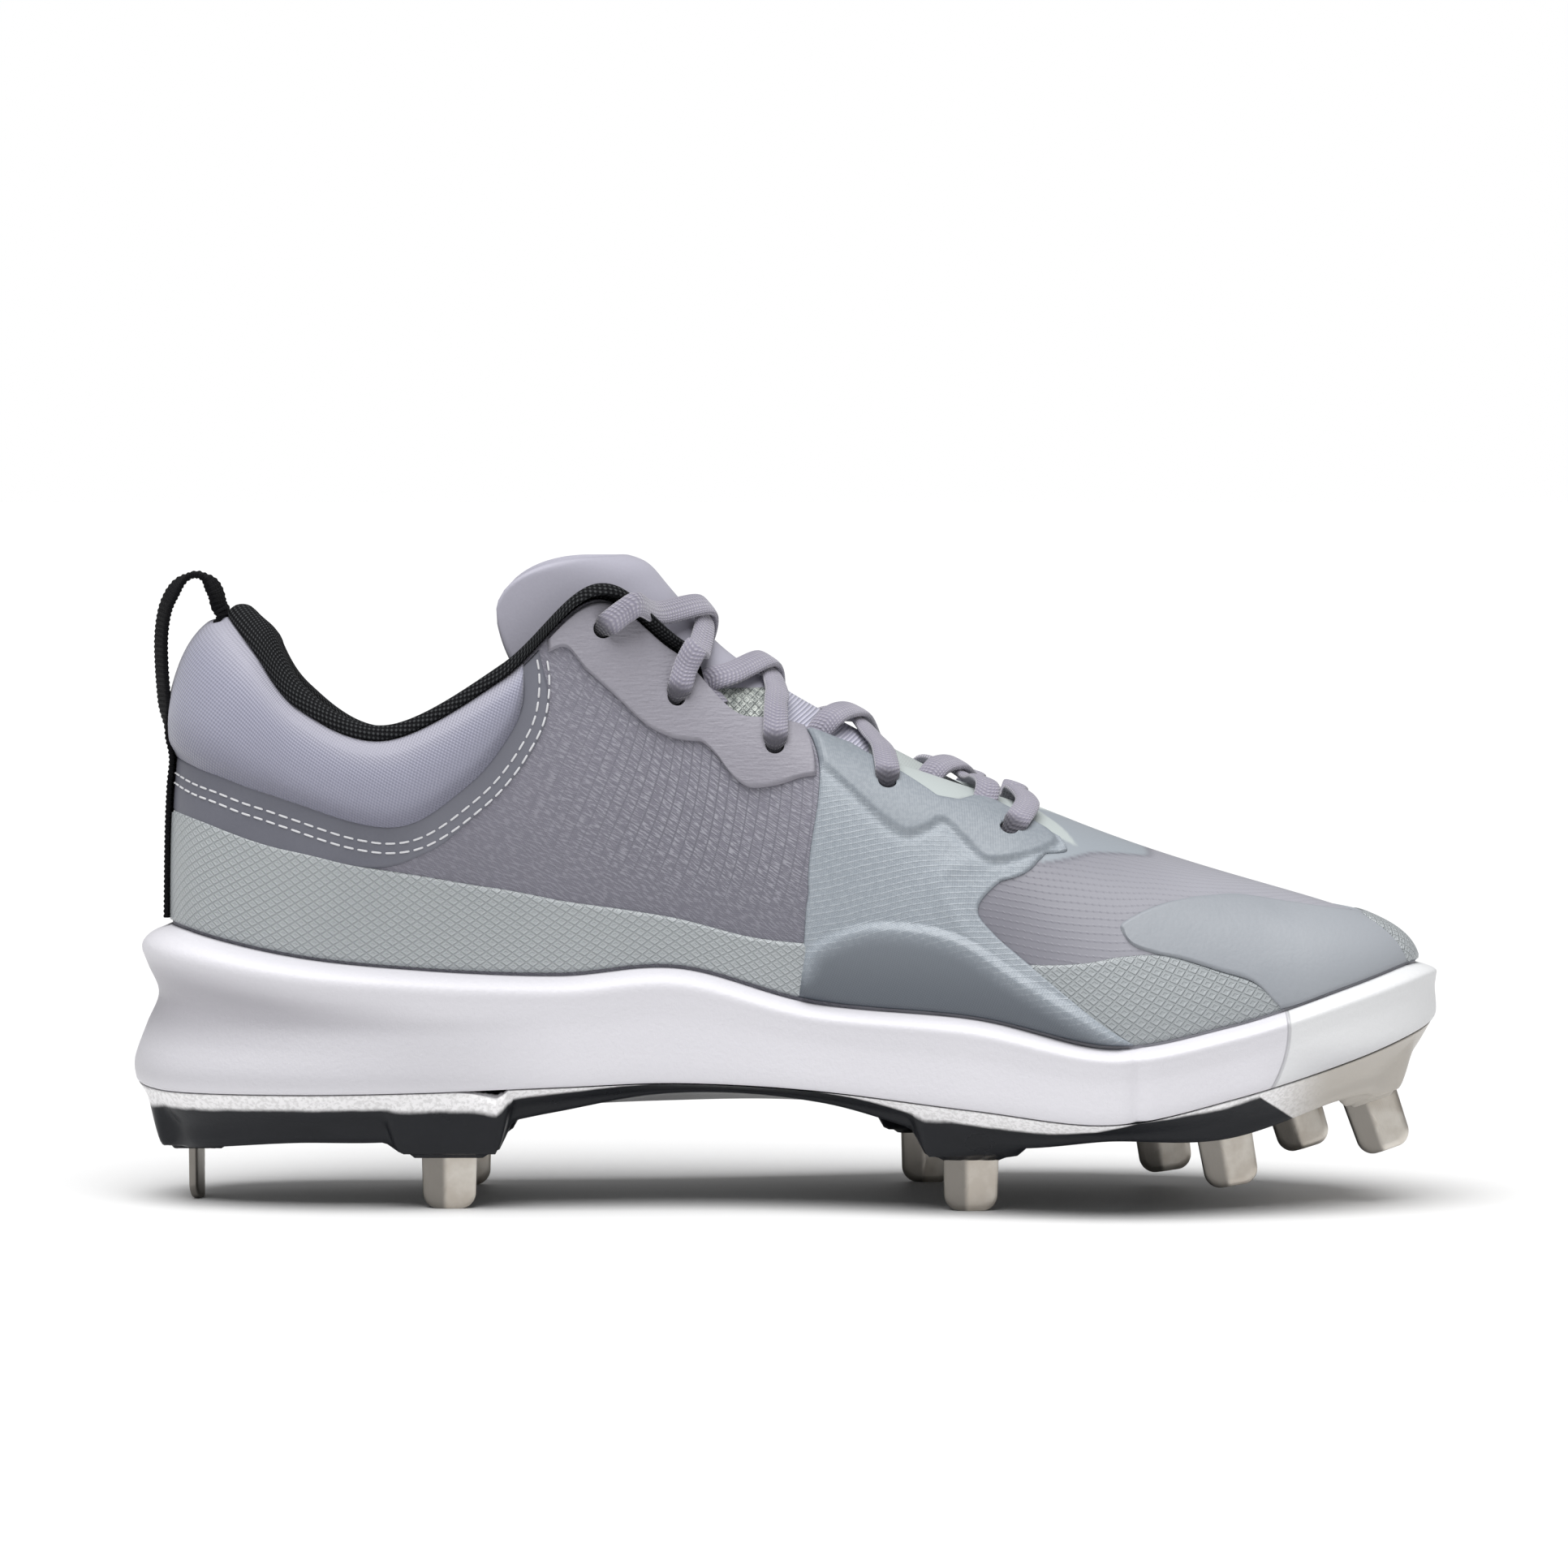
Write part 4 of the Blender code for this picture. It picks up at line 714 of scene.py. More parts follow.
def tongue_finish():
    """Four cloths of the tongue, told apart by how far along the shoe they lie: satin at its top, a glittering
    net beside it, a pale ribbed knit, and a grey-green film over the instep."""
    made = Finish("tongue_cloths", Roughness=0.55, Sheen_Weight=0.15)
    vector, x, _, z = made.place()
    fine, cloud = made.noise(vector, 1500.0, 2.0), made.noise(vector, 30.0)
    satin_part = made.mix(fine * 0.4 + cloud * 0.5, (0.330, 0.322, 0.382), (0.405, 0.398, 0.468))
    rib = ((x * 0.6 - z * 0.8) / (0.85 * MM)).wave()
    rib_part = made.mix(rib * 0.75 + fine * 0.25, (0.290, 0.290, 0.375), (0.560, 0.555, 0.640))
    weave = plain_weave(x, z, 0.8 * MM)
    film_part = made.mix(weave * 0.3 + cloud * 0.4, (0.370, 0.405, 0.400), (0.440, 0.475, 0.470))
    net = diamonds(x, z, 1.9 * MM, 1.9 * MM)
    glint = made.noise(vector, 900.0, 1.0).step(0.45, 0.6)
    net_part = made.mix(net * 0.4 + glint * 0.6, (0.160, 0.180, 0.175), (0.640, 0.680, 0.640))
    tilt = x + (z - 0.115) * 0.45
    knit_share, film_share = (tilt + 0.0030).step(-0.0002, 0.0002), (x - 0.0195).step(-0.0002, 0.0002)
    net_share = (tilt + 0.0145).step(-0.0002, 0.0002) * (1.0 - knit_share) * (0.1185 - z).step(-0.0002, 0.0002)
    tone = made.mix(film_share, made.mix(knit_share, made.mix(net_share, satin_part, net_part), rib_part), film_part)
    plain = 1.0 - knit_share.most(net_share).most(film_share)
    height = fine * 0.15 * plain + rib * knit_share * (1.0 - film_share)
    height = height + net * net_share * 1.5 + weave * film_share * 0.2
    return made.wire(Base_Color=tone, Normal=made.bump(height, 0.22 * MM))


def lace_finish():
    """Woven lace: chevrons of yarn that meet along its middle, and a beaded edge."""
    made = Finish("lace_weave", Roughness=0.75, Sheen_Weight=0.4, Sheen_Roughness=0.5)
    u, v = made.uv()
    across = (v / (7.5 * MM)).zigzag()
    chevron = ((u + across * (1.6 * MM)) / (0.95 * MM)).wave()
    strands = (v / (0.68 * MM)).wave()
    yarn = chevron * (0.35 + strands * 0.65)
    cloud = made.noise(made.place()[0], 90.0)
    edge = 1.0 - across.step(0.10, 0.22)
    bead = ((u / (0.9 * MM)).wave()).step(0.2, 0.7)
    tone = made.mix(yarn * 0.65 + cloud * 0.35, (0.175, 0.165, 0.225), (0.425, 0.405, 0.465))
    tone = made.mix(edge * bead * 0.6, tone, (0.560, 0.545, 0.590))
    # painted shade: the strand darkens where it plunges into an eyelet's hole
    tip = made.mark("tip")
    tone = made.mix(tip * 0.9, tone, (0.045, 0.043, 0.056))
    return made.wire(Base_Color=tone, Normal=made.bump(yarn * (1.0 - edge) + edge * bead * 1.5, 0.22 * MM))


upper_mesh = quarter_finish()
saddle_film = saddle_finish()
foxing_film = diamond_finish("foxing_film", 2.9 * MM, 2.1 * MM)
patch_film = diamond_finish("forefoot_film", 3.3 * MM, 2.7 * MM, (0.360, 0.384, 0.398))
lilac_film = grained_film("eyestay_film", (0.205, 0.196, 0.228), (0.318, 0.308, 0.352), 1500.0, 0.25 * MM,
                          (300.0, 1700.0), 0.6)
cap_film = grained_film("toe_cap_film", (0.235, 0.253, 0.280), (0.300, 0.318, 0.345), 1100.0, 0.12 * MM,
                        brighter=(0.100, 0.140))
band_film = grained_film("collar_band_film", (0.090, 0.093, 0.118), (0.145, 0.148, 0.178), 1500.0, 0.05 * MM,
                         brighter=(-0.095, -0.060))
satin = satin_finish()
# painted highlights: the black knit's dots are painted grey on the black ground, for light caught on their raised
# tops
knit = knit_finish("black_knit", (0.001, 0.001, 0.002), (0.060, 0.063, 0.066), 1.5 * MM, 0.45 * MM, 0.12)
webbing = knit_finish("loop_webbing", (0.001, 0.001, 0.002), (0.010, 0.010, 0.011), 0.7 * MM, 0.10 * MM, 0.12)
tongue_cloth = tongue_finish()
lace_weave = lace_finish()
insole_cloth = knit_finish("insole_cloth", (0.05, 0.05, 0.055), (0.12, 0.12, 0.13), 0.9 * MM, 0.15 * MM)

stitch_thread = Finish("stitch_thread", Roughness=0.5, Sheen_Weight=0.3).wire(Base_Color=(0.62, 0.62, 0.64))


# %% Finishes of the sole
def foam_finish():
    """White foam with the fine leathery grain of its mould. Its groove, where the groove's mark is 1, is painted grey
    as shade under its lip, and painted shade also darkens the heel's flare and the toe's underside. The toe's foxing,
    of another foam, starts at a thin curved seam on each side."""
    made = Finish("foam_white", Roughness=0.45)
    vector, x, _, z = made.place()
    grain = made.noise(vector, 900.0, 4.0, 0.6)
    cloud = made.noise(vector, 20.0)
    hollow = made.mark("hollow")
    drop = (0.0426 - z) / 0.0193
    gap = x - 0.1141 + drop * drop * 0.0086
    toe = gap.step(-0.0002, 0.0002)
    seam = 1.0 - abs(gap).step(0.0001, 0.0006)
    tone = made.mix(grain * 0.25 + cloud * 0.5, (0.610, 0.600, 0.640), (0.690, 0.682, 0.715))
    tone = made.mix(toe, tone, made.mix(grain * 0.25 + cloud * 0.5, (0.655, 0.660, 0.670), (0.720, 0.725, 0.735)))
    # painted shade: the groove is darkened where its upper lip would shadow it
    tone = made.mix(hollow * 0.75, tone, (0.330, 0.320, 0.350))
    # painted shade: the heel's flare and the toe's underside are darkened, for the light falling from above
    flare_and_toe_shade = (1.0 - x.step(-0.085, -0.045)) * z.step(0.0265, 0.031) * (1.0 - z.step(0.042, 0.046))
    flare_and_toe_shade = flare_and_toe_shade + x.step(0.105, 0.125) * (1.0 - z.step(0.034, 0.042))
    tone = made.mix(flare_and_toe_shade * 0.42, tone, (0.360, 0.355, 0.380))
    tone = made.mix(seam * 0.5, tone, (0.300, 0.300, 0.320))
    return made.wire(Base_Color=tone, Normal=made.bump(grain - seam * 2.0, 0.12 * MM))


# depth of the plate's clear edge along the shoe, in shares of its length and of CLEAR_DEPTH
CLEAR_DEPTH = 8.0 * MM
BAND_DEPTH = ((0.00, 0.66), (0.25, 0.66), (0.33, 0.38), (0.40, 0.06), (0.52, 0.03), (0.555, 0.25), (0.60, 0.70),
              (0.70, 0.82), (0.735, 0.60), (0.765, 0.05), (0.83, 0.35), (0.88, 0.20))


def plate_finish():
    """One moulding in two colours: gloss black where it carries the studs, and clear along its upper edge and at
    the toe, where the white foam shows through it. The clear edge's depth follows a row of values along the shoe."""
    made = Finish("plate_moulding", Specular_IOR_Level=0.22)
    v = made.uv()[1]
    vector, x, _, z = made.place()
    depth = made.node("ShaderNodeValToRGB", {"stops": [(place, (d, d, d)) for place, d in BAND_DEPTH]},
                      {"Fac": (x + LENGTH / 2) / LENGTH})
    speck = made.noise(vector, 1200.0, 2.0)
    edge = depth * CLEAR_DEPTH + (made.noise(vector, 250.0) - 0.5) * (0.8 * MM)
    clear = ((edge - v) / (1.6 * MM)).step(0.0, 1.0).most((x + (z - 0.022) * 1.4).step(0.1150, 0.1158))
    cloudy = made.mix(speck.step(0.42, 0.62) * 0.45 + (v / (7.0 * MM)) * 0.15, (0.90, 0.89, 0.90), (0.54, 0.53, 0.53))
    cloudy = made.mix(x.step(0.108, 0.125), cloudy, (0.47, 0.44, 0.40))
    scuff = made.noise(vector, 70.0, 5.0)
    black = made.mix(scuff, (0.004, 0.005, 0.007), (0.012, 0.013, 0.017))
    return made.wire(Base_Color=made.mix(clear, black, cloudy), Roughness=0.22 + scuff * 0.16 + clear * 0.05,
                     Normal=made.bump(speck, 0.03 * MM))


def blade_finish():
    """Plated steel, warm, with faint draw lines up the blade and soft stains. The face beyond its fold, on the left,
    is painted dark as shade.
    """
    made = Finish("blade_steel", Metallic=1.0)
    u, v = made.uv()
    vector = made.place()[0]
    drawn = made.noise(made.vector(u * 4000.0, v * 300.0), 1.0, 2.0)
    stain = made.noise(vector, 160.0, 4.0)
    tone = made.mix(stain.step(0.35, 0.7), (0.50, 0.455, 0.40), (0.66, 0.625, 0.57))
    # painted shade: the face left of the fold is darkened, as that side turns away from the light
    tone = made.mix((u + 1.0 * MM).step(-0.8 * MM, 0.8 * MM), (0.23, 0.215, 0.195), tone)
    return made.wire(Base_Color=tone, Roughness=0.20 + drawn * 0.14 + stain * 0.10,
                     Normal=made.bump(drawn, 0.015 * MM))


foam = foam_finish()
plastic = plate_finish()
metal = blade_finish()
print("finishes:", len(bpy.data.materials))

# %% [markdown]
# ## The upper's shell
#
# On the real shoe a knitted and laminated skin is pulled over the last and glued under it. Here it is one shell
# 2 mm thick. Its grid runs all the way round the shoe, and in the other direction up the outside, over the edge,
# down the inside and back under, so the two directions both close and the wall has a true thickness. Borders that
# are only a change of colour, such as the film round the end of the throat, are values at the shell's points: they
# are tables in the same "around" and "up" as the pieces that meet them, so they line up with those.

# %% The shell from the footbed over the bite line to the opening
SHELL_COLUMNS, OUTER_ROWS, INNER_ROWS = 640, 84, 26
EDGE_START = 0.985  # share of the rib at which the rounded edge starts
FOOT_INSET = 0.0013  # how far the tucked-in foot stands inside the foam's rim
RIB_BY_VAMP = 0.080  # a rib's length beside the vamp, which turns a share of it into metres
# upper edge of the saddle's film: scalloped between the eyelets, and low round the end of the throat
THROAT_EDGE = ((6.90, 0.99), (7.28, 0.99), (7.42, 0.92), (7.57, 0.80), (7.77, 0.815), (8.04, 0.88), (8.20, 0.895),
               (8.41, 0.82), (8.58, 0.755), (8.72, 0.715), (8.90, 0.80), (9.10, 0.90), (9.40, 0.975), (12.0, 0.99))
# the vamp's oval border, over which the saddle's colour runs on round the end of the throat
OVAL_EDGE = ((8.00, 0.60), (8.82, 0.69), (9.35, 0.725), (9.81, 0.745), (10.20, 0.784),
             (10.60, 0.814), (11.00, 0.830), (12.00, 0.846))
# the film's cut edge on the rib, from the heel to the toe
HEM = np.array([(0.0, 1.0), (6.08, 1.0), (6.17, 0.93), (6.25, 0.865), (6.36, 0.858), (6.57, 0.910), (6.80, 0.960),
                (7.03, 1.0), (12.0, 1.0)])


def hem(around):
    """Height on the rib of the film's cut edge: the throat's border dips between the second and fourth eyelets."""
    places = np.linspace(0, TOE, 400)
    shape = np.interp(places, HEM[:, 0], HEM[:, 1])
    window = np.hanning(9)
    shape = np.convolve(np.pad(shape, len(window) // 2, mode="edge"), window / window.sum(), mode="valid")
    return np.interp(np.minimum(around % STATIONS, STATIONS - around % STATIONS), places, shape)


def shell_points(around):
    """Rows: tucked-in foot, outer face, rounded edge, inner face a wall's thickness in, and the foot again."""
    top = hem(around)
    foot, inner_foot = (ring(around, rim_inset(around) + FOOT_INSET + wall, sole(FOOTBED, around) + CLEARANCE)
                        for wall in (0, WALL))
    outer = [skin(around, up * top) for up in np.linspace(0, EDGE_START, OUTER_ROWS)]
    edge = [skin(around, up * top, -WALL * depth) for up, depth in ((0.996, 0.12), (1.0, 0.5), (0.996, 0.88))]
    inner = [skin(around, up * top, -WALL) for up in np.linspace(EDGE_START, 0.02, INNER_ROWS)]
    return np.stack([foot, *outer, *edge, *inner, inner_foot, foot])


around = np.linspace(0, STATIONS, SHELL_COLUMNS + 1)
shell = shell_points(around)
shell_up = np.concatenate([[0.0], np.linspace(0, EDGE_START, OUTER_ROWS), [1.0] * 3,
                           np.linspace(EDGE_START, 0.02, INNER_ROWS), [0.0] * 2])
folded = np.minimum(around, STATIONS - around)
instep = smooth(-0.012, 0.012, shell_up[:, None] - np.interp(folded, *np.array(THROAT_EDGE).T)[None, :])
instep = instep * smooth(7.20, 7.35, folded)
oval = (shell_up[:, None] - np.interp(folded, *np.array(OVAL_EDGE).T)[None, :]) * RIB_BY_VAMP
beyond = smooth(8.0, 8.1, folded)
upper = add_grid("upper_shell", shell, section_uv(around, shell), upper_mesh, "upper_mesh", ["upper"],
                 marks={"instep": instep, "round_throat": smooth(0, 0.5 * MM, oval) * beyond,
                        "oval_line": np.exp(-(oval / (0.45 * MM))**2) * beyond})
print("shell:", len(upper.data.polygons), "faces")

# %% [markdown]
# ## Films welded over the shell
#
# A modern sports upper has few sewn panels: thin plastic films are cut to shape and welded on with heat, here a toe
# cap, an eyestay, a foxing round the heel and a saddle that ties the laces to the sole. Each film is a small table
# of places on the upper, with an outer and an inner grid that meet at the border, so that it has a bevelled edge
# which catches the light. The saddle also carries an embossing, which is worked out from the distance of each
# point to three drawn lines.

# %% A film from a table of places
FILM_LIFT, FILM_THICK = 0.05 * MM, 0.75 * MM


def add_film(name, around, up, finish, slot, nodes=(), thick=FILM_THICK, round_edge=0.6 * MM, form=None, base=0.0):
    """A film over places on the upper. Its thickness rises from nothing at its border to the whole within
    round_edge, as 3t^2 - 2t^3, and form adds a raised shape of its own. A base lifts it onto another film."""
    lift = FILM_LIFT + base
    inner = skin(around, up, lift)
    gap = edge_gap(inner)
    rise = smooth(0, round_edge, gap) * thick
    marks = None
    if form is not None:
        relief, marks = form(around, up)
        rise = rise + smooth(0, 3 * round_edge, gap) * relief
    return add_slab(name, skin(around, up, lift + rise), inner, cloth_uv(around, up), finish, slot, nodes, marks)


def nearest_spot(points, track):
    """Distance of every point to the closest of a track's spots."""
    flat = points.reshape(-1, 3)
    return np.min([np.linalg.norm(flat - spot, axis=1) for spot in track], axis=0).reshape(points.shape[:-1])


def line_gap(around, up, knots):
    """Distance in metres from a line drawn on the upper, positive above it, negative below."""
    knots = np.array(knots, float)
    line = open_spline(knots, np.linspace(0, len(knots) - 1, 240))
    nearest = nearest_spot(upper_point(around, up), upper_point(line[:, 0], line[:, 1]))
    return nearest * np.where(up > np.interp(around, line[:, 0], line[:, 1]), 1.0, -1.0)


EYESTAY_LINE = ((6.40, 0.98), (6.62, 0.86), (6.79, 0.74), (6.98, 0.585), (7.22, 0.62), (7.44, 0.68), (7.50, 0.62),
                (7.58, 0.565), (7.95, 0.62), (8.38, 0.695), (8.50, 0.736), (8.52, 0.80))
PAD_LINE = ((5.92, 0.10), (6.08, 0.18), (6.50, 0.265), (7.00, 0.275), (7.38, 0.195), (7.79, 0.12), (8.25, 0.02))
RIDGE_LINE = ((8.50, 0.64), (7.85, 0.60), (7.25, 0.50), (7.05, 0.41), (7.10, 0.28), (7.45, 0.17))


def saddle_form(around, up):
    """Embossing of the saddle: the eyestay stands up behind a groove, the pad by the sole has a lip that falls
    back below, and a soft ridge runs beside the vamp."""
    place = np.where(around > TOE, STATIONS - around, around)
    stay, pad = line_gap(place, up, EYESTAY_LINE), line_gap(place, up, PAD_LINE)
    ridge = np.array(RIDGE_LINE)
    track = open_spline(ridge, np.linspace(0, len(ridge) - 1, 120))
    off = nearest_spot(upper_point(place, up), upper_point(track[:, 0], track[:, 1]))
    below = -pad
    relief = (0.75 * MM * smooth(-0.7 * MM, 0.9 * MM, stay) - 0.35 * MM * np.exp(-((stay + 1.1 * MM) / (0.9 * MM))**2)
              + 1.5 * MM * smooth(-0.4 * MM, 2.0 * MM, below) * (1 - 0.85 * smooth(2 * MM, 15 * MM, below))
              + 0.5 * MM * np.exp(-(off / (2.2 * MM))**2))
    # the pad's mask, where the saddle's finish paints shade
    padded = smooth(0, 6 * MM, below)
    return relief, {"raised": np.maximum(smooth(-1 * MM, 0.5 * MM, stay), padded), "pad": padded}


def other_side(around, up):
    """Places mirrored to the shoe's lateral side, with their columns turned round so that faces look outward."""
    return STATIONS - around[:, ::-1], up[:, ::-1]


def along_patch(rows, columns, levels, mirrored=False, slant=0.0):
    """Places of a film whose table gives around, lower and upper edge, smooth between its rows. Its last tenth
    leans by slant towards the toe at the top. Nothing rises over the throat's cut edge."""
    along = clustered(columns, 0.0015, 0.004)
    table = open_spline(np.array(rows, float), along * (len(rows) - 1))
    share = clustered(levels, 0.008, 0.02)[:, None]
    around = table[:, 0] + slant * share * smooth(0.80, 1.0, along)
    up = table[:, 1] + (np.minimum(table[:, 2], 0.99 * hem(around)) - table[:, 1]) * share
    return other_side(around, up) if mirrored else (around, up)


def upward_patch(rows, columns, levels):
    """Places of a film whose table gives up, rear and front edge."""
    table = open_spline(np.array(rows, float), clustered(levels, 0.003, 0.008) * (len(rows) - 1))
    share = clustered(columns, 0.005, 0.012)[None, :]
    around = table[:, 1:2] + (table[:, 2:3] - table[:, 1:2]) * share
    return around, np.broadcast_to(table[:, 0:1], around.shape)


# tables of the films: around, lower edge, upper edge; the saddle's is up, rear edge, front edge
TOE_CAP = ((8.40, 0.372, 0.398), (8.44, 0.340, 0.416), (8.60, 0.308, 0.442), (8.80, 0.278, 0.468),
           (9.05, 0.218, 0.495), (9.25, 0.158, 0.512), (9.38, 0.040, 0.522), (9.47, 0.010, 0.526),
           (9.95, 0.010, 0.534), (10.40, 0.010, 0.478), (10.88, 0.010, 0.400), (11.30, 0.010, 0.365),
           (12.00, 0.010, 0.360))
TOE_CAP += tuple((STATIONS - place, low, high) for place, low, high in TOE_CAP[-2::-1])
EYESTAY = ((4.46, 0.950, 0.99), (4.65, 0.912, 0.99), (4.83, 0.808, 0.99), (5.10, 0.706, 0.99), (5.29, 0.658, 0.99),
           (5.51, 0.652, 0.99), (5.70, 0.670, 0.99), (5.83, 0.684, 0.99), (5.91, 0.660, 0.99), (5.96, 0.612, 0.99),
           (6.04, 0.588, 0.99), (6.16, 0.600, 0.99), (6.33, 0.632, 0.99), (6.50, 0.676, 0.99), (6.64, 0.706, 0.99))
FOXING = ((0.02, 0.01, 0.32), (0.33, 0.01, 0.34), (0.90, 0.01, 0.365), (1.54, 0.01, 0.39), (2.33, 0.01, 0.43),
          (3.00, 0.01, 0.42), (3.58, 0.01, 0.33), (4.12, 0.01, 0.24), (4.79, 0.01, 0.16), (5.42, 0.01, 0.14),
          (6.02, 0.01, 0.17))
SADDLE = ((0.01, 5.88, 8.21), (0.13, 5.95, 7.79), (0.25, 6.05, 7.42), (0.31, 6.12, 7.28), (0.37, 6.18, 7.25),
          (0.462, 6.30, 7.46), (0.63, 6.55, 8.00), (0.785, 6.76, 8.46), (0.99, 6.98, 8.62))
FOREFOOT = ((7.36, 0.01, 0.12), (7.45, 0.01, 0.22), (7.60, 0.01, 0.245), (8.00, 0.01, 0.285), (8.30, 0.01, 0.308),
            (8.67, 0.01, 0.300), (9.05, 0.01, 0.218), (9.25, 0.01, 0.158), (9.36, 0.01, 0.078), (9.42, 0.01, 0.02))
TIP = ((11.02, 0.10, 0.17), (11.08, 0.02, 0.28), (11.25, 0.02, 0.335), (11.60, 0.02, 0.348), (12.00, 0.02, 0.350),
       (12.40, 0.02, 0.348), (12.75, 0.02, 0.335), (12.92, 0.02, 0.28), (12.98, 0.10, 0.17))


def saddle_places(mirrored):
    """The saddle's patch, its upper half squeezed down under the scalloped edge of the throat."""
    around, up = upward_patch(SADDLE, 104, 104)
    top = np.interp(around, *np.array(THROAT_EDGE).T)
    up = np.where(up > 0.5, 0.5 + (up - 0.5) * (top - 0.5) / 0.49, up)
    return other_side(around, up) if mirrored else (around, up)


films = [add_film("toe_cap_film", *along_patch(TOE_CAP, 160, 36), cap_film, "grey_film", ["toe_cap"]),
         add_film("toe_tip_film", *along_patch(TIP, 60, 24), foxing_film, "grey_film", thick=0.3 * MM,
                  base=FILM_THICK)]
for side, mirrored in (("medial", False), ("lateral", True)):
    films.append(add_film("foxing_" + side, *along_patch(FOXING, 160, 36, mirrored), foxing_film, "grey_film",
                          ["heel_foxing_" + side]))
    films.append(add_film("eyestay_film_" + side, *along_patch(EYESTAY, 150, 44, mirrored, 0.30), lilac_film,
                          "lilac_film", ["eyestay_" + side], thick=1.2 * MM))
    films.append(add_film("saddle_film_" + side, *saddle_places(mirrored), saddle_film,
                          "grey_film", ["saddle_" + side], form=saddle_form))
    films.append(add_film("forefoot_film_" + side, *along_patch(FOREFOOT, 90, 40, mirrored), patch_film, "grey_film",
                          thick=0.4 * MM))
print("films:", sum(len(film.data.polygons) for film in films), "faces")

# %% [markdown]
# ## Padded collar
#
# Foam under a satin cloth keeps the ankle comfortable. The cloth is sewn on along its lower seam, which pulls it
# flat there, and it swells to a pad of some 4 mm above. A quarter circle from the border inwards gives that
# section. Below the seam runs a sheer band of film with two rows of stitches, and these are real short threads,
# because at this distance their thickness and shadow show.

# %% Collar panel, padded out between its seam and the roll
COLLAR_SEAM = ((0.00, 0.474), (0.80, 0.504), (1.39, 0.544), (1.85, 0.590), (2.30, 0.612), (2.69, 0.618),
               (2.93, 0.618), (3.12, 0.626), (3.28, 0.648), (3.51, 0.692), (3.75, 0.738), (3.99, 0.802),
               (4.13, 0.850), (4.19, 0.900), (4.21, 0.960))
PANEL_END = COLLAR_SEAM[-1][0]
PANEL_PUFF, PANEL_ROUND = 4.2 * MM, 15 * MM  # the pad's height, and how far from its border it reaches it


def seam_height(around):
    """Height on the rib of the seam under the collar panel, the same on both sides."""
    table = open_spline(np.array(COLLAR_SEAM), np.linspace(0, len(COLLAR_SEAM) - 1, 300))
    return np.interp(np.abs(around), table[:, 0], table[:, 1])


def collar_places(columns, levels):
    """Places of the panel, from the seam up to just under the collar's edge, all round the heel."""
    around = np.broadcast_to((clustered(columns, 0.002, 0.005) * 2 - 1) * PANEL_END, (levels + 4, columns + 4))
    low = seam_height(around)
    return around, low + (0.995 - low) * clustered(levels, 0.012, 0.03)[:, None]


def add_collar_panel():
    """The pad rises from its border as a quarter circle: puff sqrt(1 - lean^2), lean falling from 1 to 0."""
    around, up = collar_places(230, 44)
    inner = skin(around, up, FILM_LIFT)
    gap = edge_gap(inner)
    lean = 1 - np.clip(gap / PANEL_ROUND, 0, 1)
    puff = PANEL_PUFF * np.sqrt(1 - lean**2) * smooth(-2 * MM, 4 * MM, gap)
    low = seam_height(around)
    share = (up - low) / (1 - low)
    # marks for painted shade towards the seam and a painted highlight under the roll
    marks = {"shade": 1 - smooth(0.0, 0.36, share), "glow": smooth(0.62, 0.95, share)}
    return add_slab("collar_panel", skin(around, up, FILM_LIFT + puff), inner, cloth_uv(around, up), satin,
                    "lilac_film", marks=marks)


BAND = ((0.00, 0.484, 0.00, 0.330), (0.80, 0.514, 0.80, 0.345), (1.39, 0.554, 1.39, 0.370),
        (1.85, 0.600, 1.85, 0.390), (2.30, 0.622, 2.35, 0.405), (2.69, 0.628, 2.75, 0.430),
        (2.93, 0.630, 2.98, 0.460), (3.12, 0.640, 3.14, 0.490), (3.28, 0.660, 3.31, 0.520),
        (3.51, 0.704, 3.58, 0.590), (3.75, 0.748, 3.86, 0.650), (3.99, 0.812, 4.16, 0.720),
        (4.13, 0.860, 4.36, 0.778), (4.18, 0.910, 4.42, 0.850), (4.18, 0.985, 4.37, 0.985))


def add_band():
    """The sheer band under the seam. Its table pairs places on the seam with places on the band's outer border: on
    the heel that one hides under the foxing, and in front of the panel both turn up to the collar's edge."""
    half = np.array(BAND)
    whole = np.concatenate([half[:0:-1] * (-1, 1, -1, 1), half])
    table = open_spline(whole, clustered(300, 0.002, 0.004) * (len(whole) - 1))
    share = clustered(36, 0.01, 0.03)[:, None]
    seam, border = table[:, :2], table[:, 2:]
    around, up = (seam[:, axis] + (border[:, axis] - seam[:, axis]) * share for axis in (0, 1))
    return add_film("collar_band", around, up, band_film, "grey_film", thick=0.35 * MM)


STITCH_LENGTH, STITCH_SPACE, STITCH_RADIUS, STITCH_LIFT = 2.3 * MM, 0.9 * MM, 0.24 * MM, 0.42 * MM


def add_stitches(name, around, up):
    """A row of stitches on a line of the upper: short capsules cut from the line's length, each of 8 sides."""
    so_far = walked(upper_point(around, up))
    count = int(so_far[-1] / (STITCH_LENGTH + STITCH_SPACE))
    reach = np.array([-0.5, -0.5, -0.47, -0.35, 0.0, 0.35, 0.47, 0.5, 0.5]) * STITCH_LENGTH
    thick = np.array([0.0, 0.45, 0.80, 1.0, 1.0, 1.0, 0.80, 0.45, 0.0]) * STITCH_RADIUS
    middle = (np.arange(count) + 0.5) * (STITCH_LENGTH + STITCH_SPACE)
    places, ups = (np.interp(middle[:, None] + reach[None, :], so_far, values) for values in (around, up))
    path = skin(places, ups, FILM_LIFT + STITCH_LIFT)
    normal = upper_directions(places, ups)[2]
    side = np.cross(unit(np.gradient(path, axis=1)), normal)
    theta = np.linspace(0, 2 * math.pi, 9)
    ringed = (side[:, :, None] * np.cos(theta)[:, None] + normal[:, :, None] * np.sin(theta)[:, None])
    points = path[:, :, None] + ringed * thick[None, :, None, None]
    return add_row(name, points, [0, 2], stitch_thread, "lace_weave")


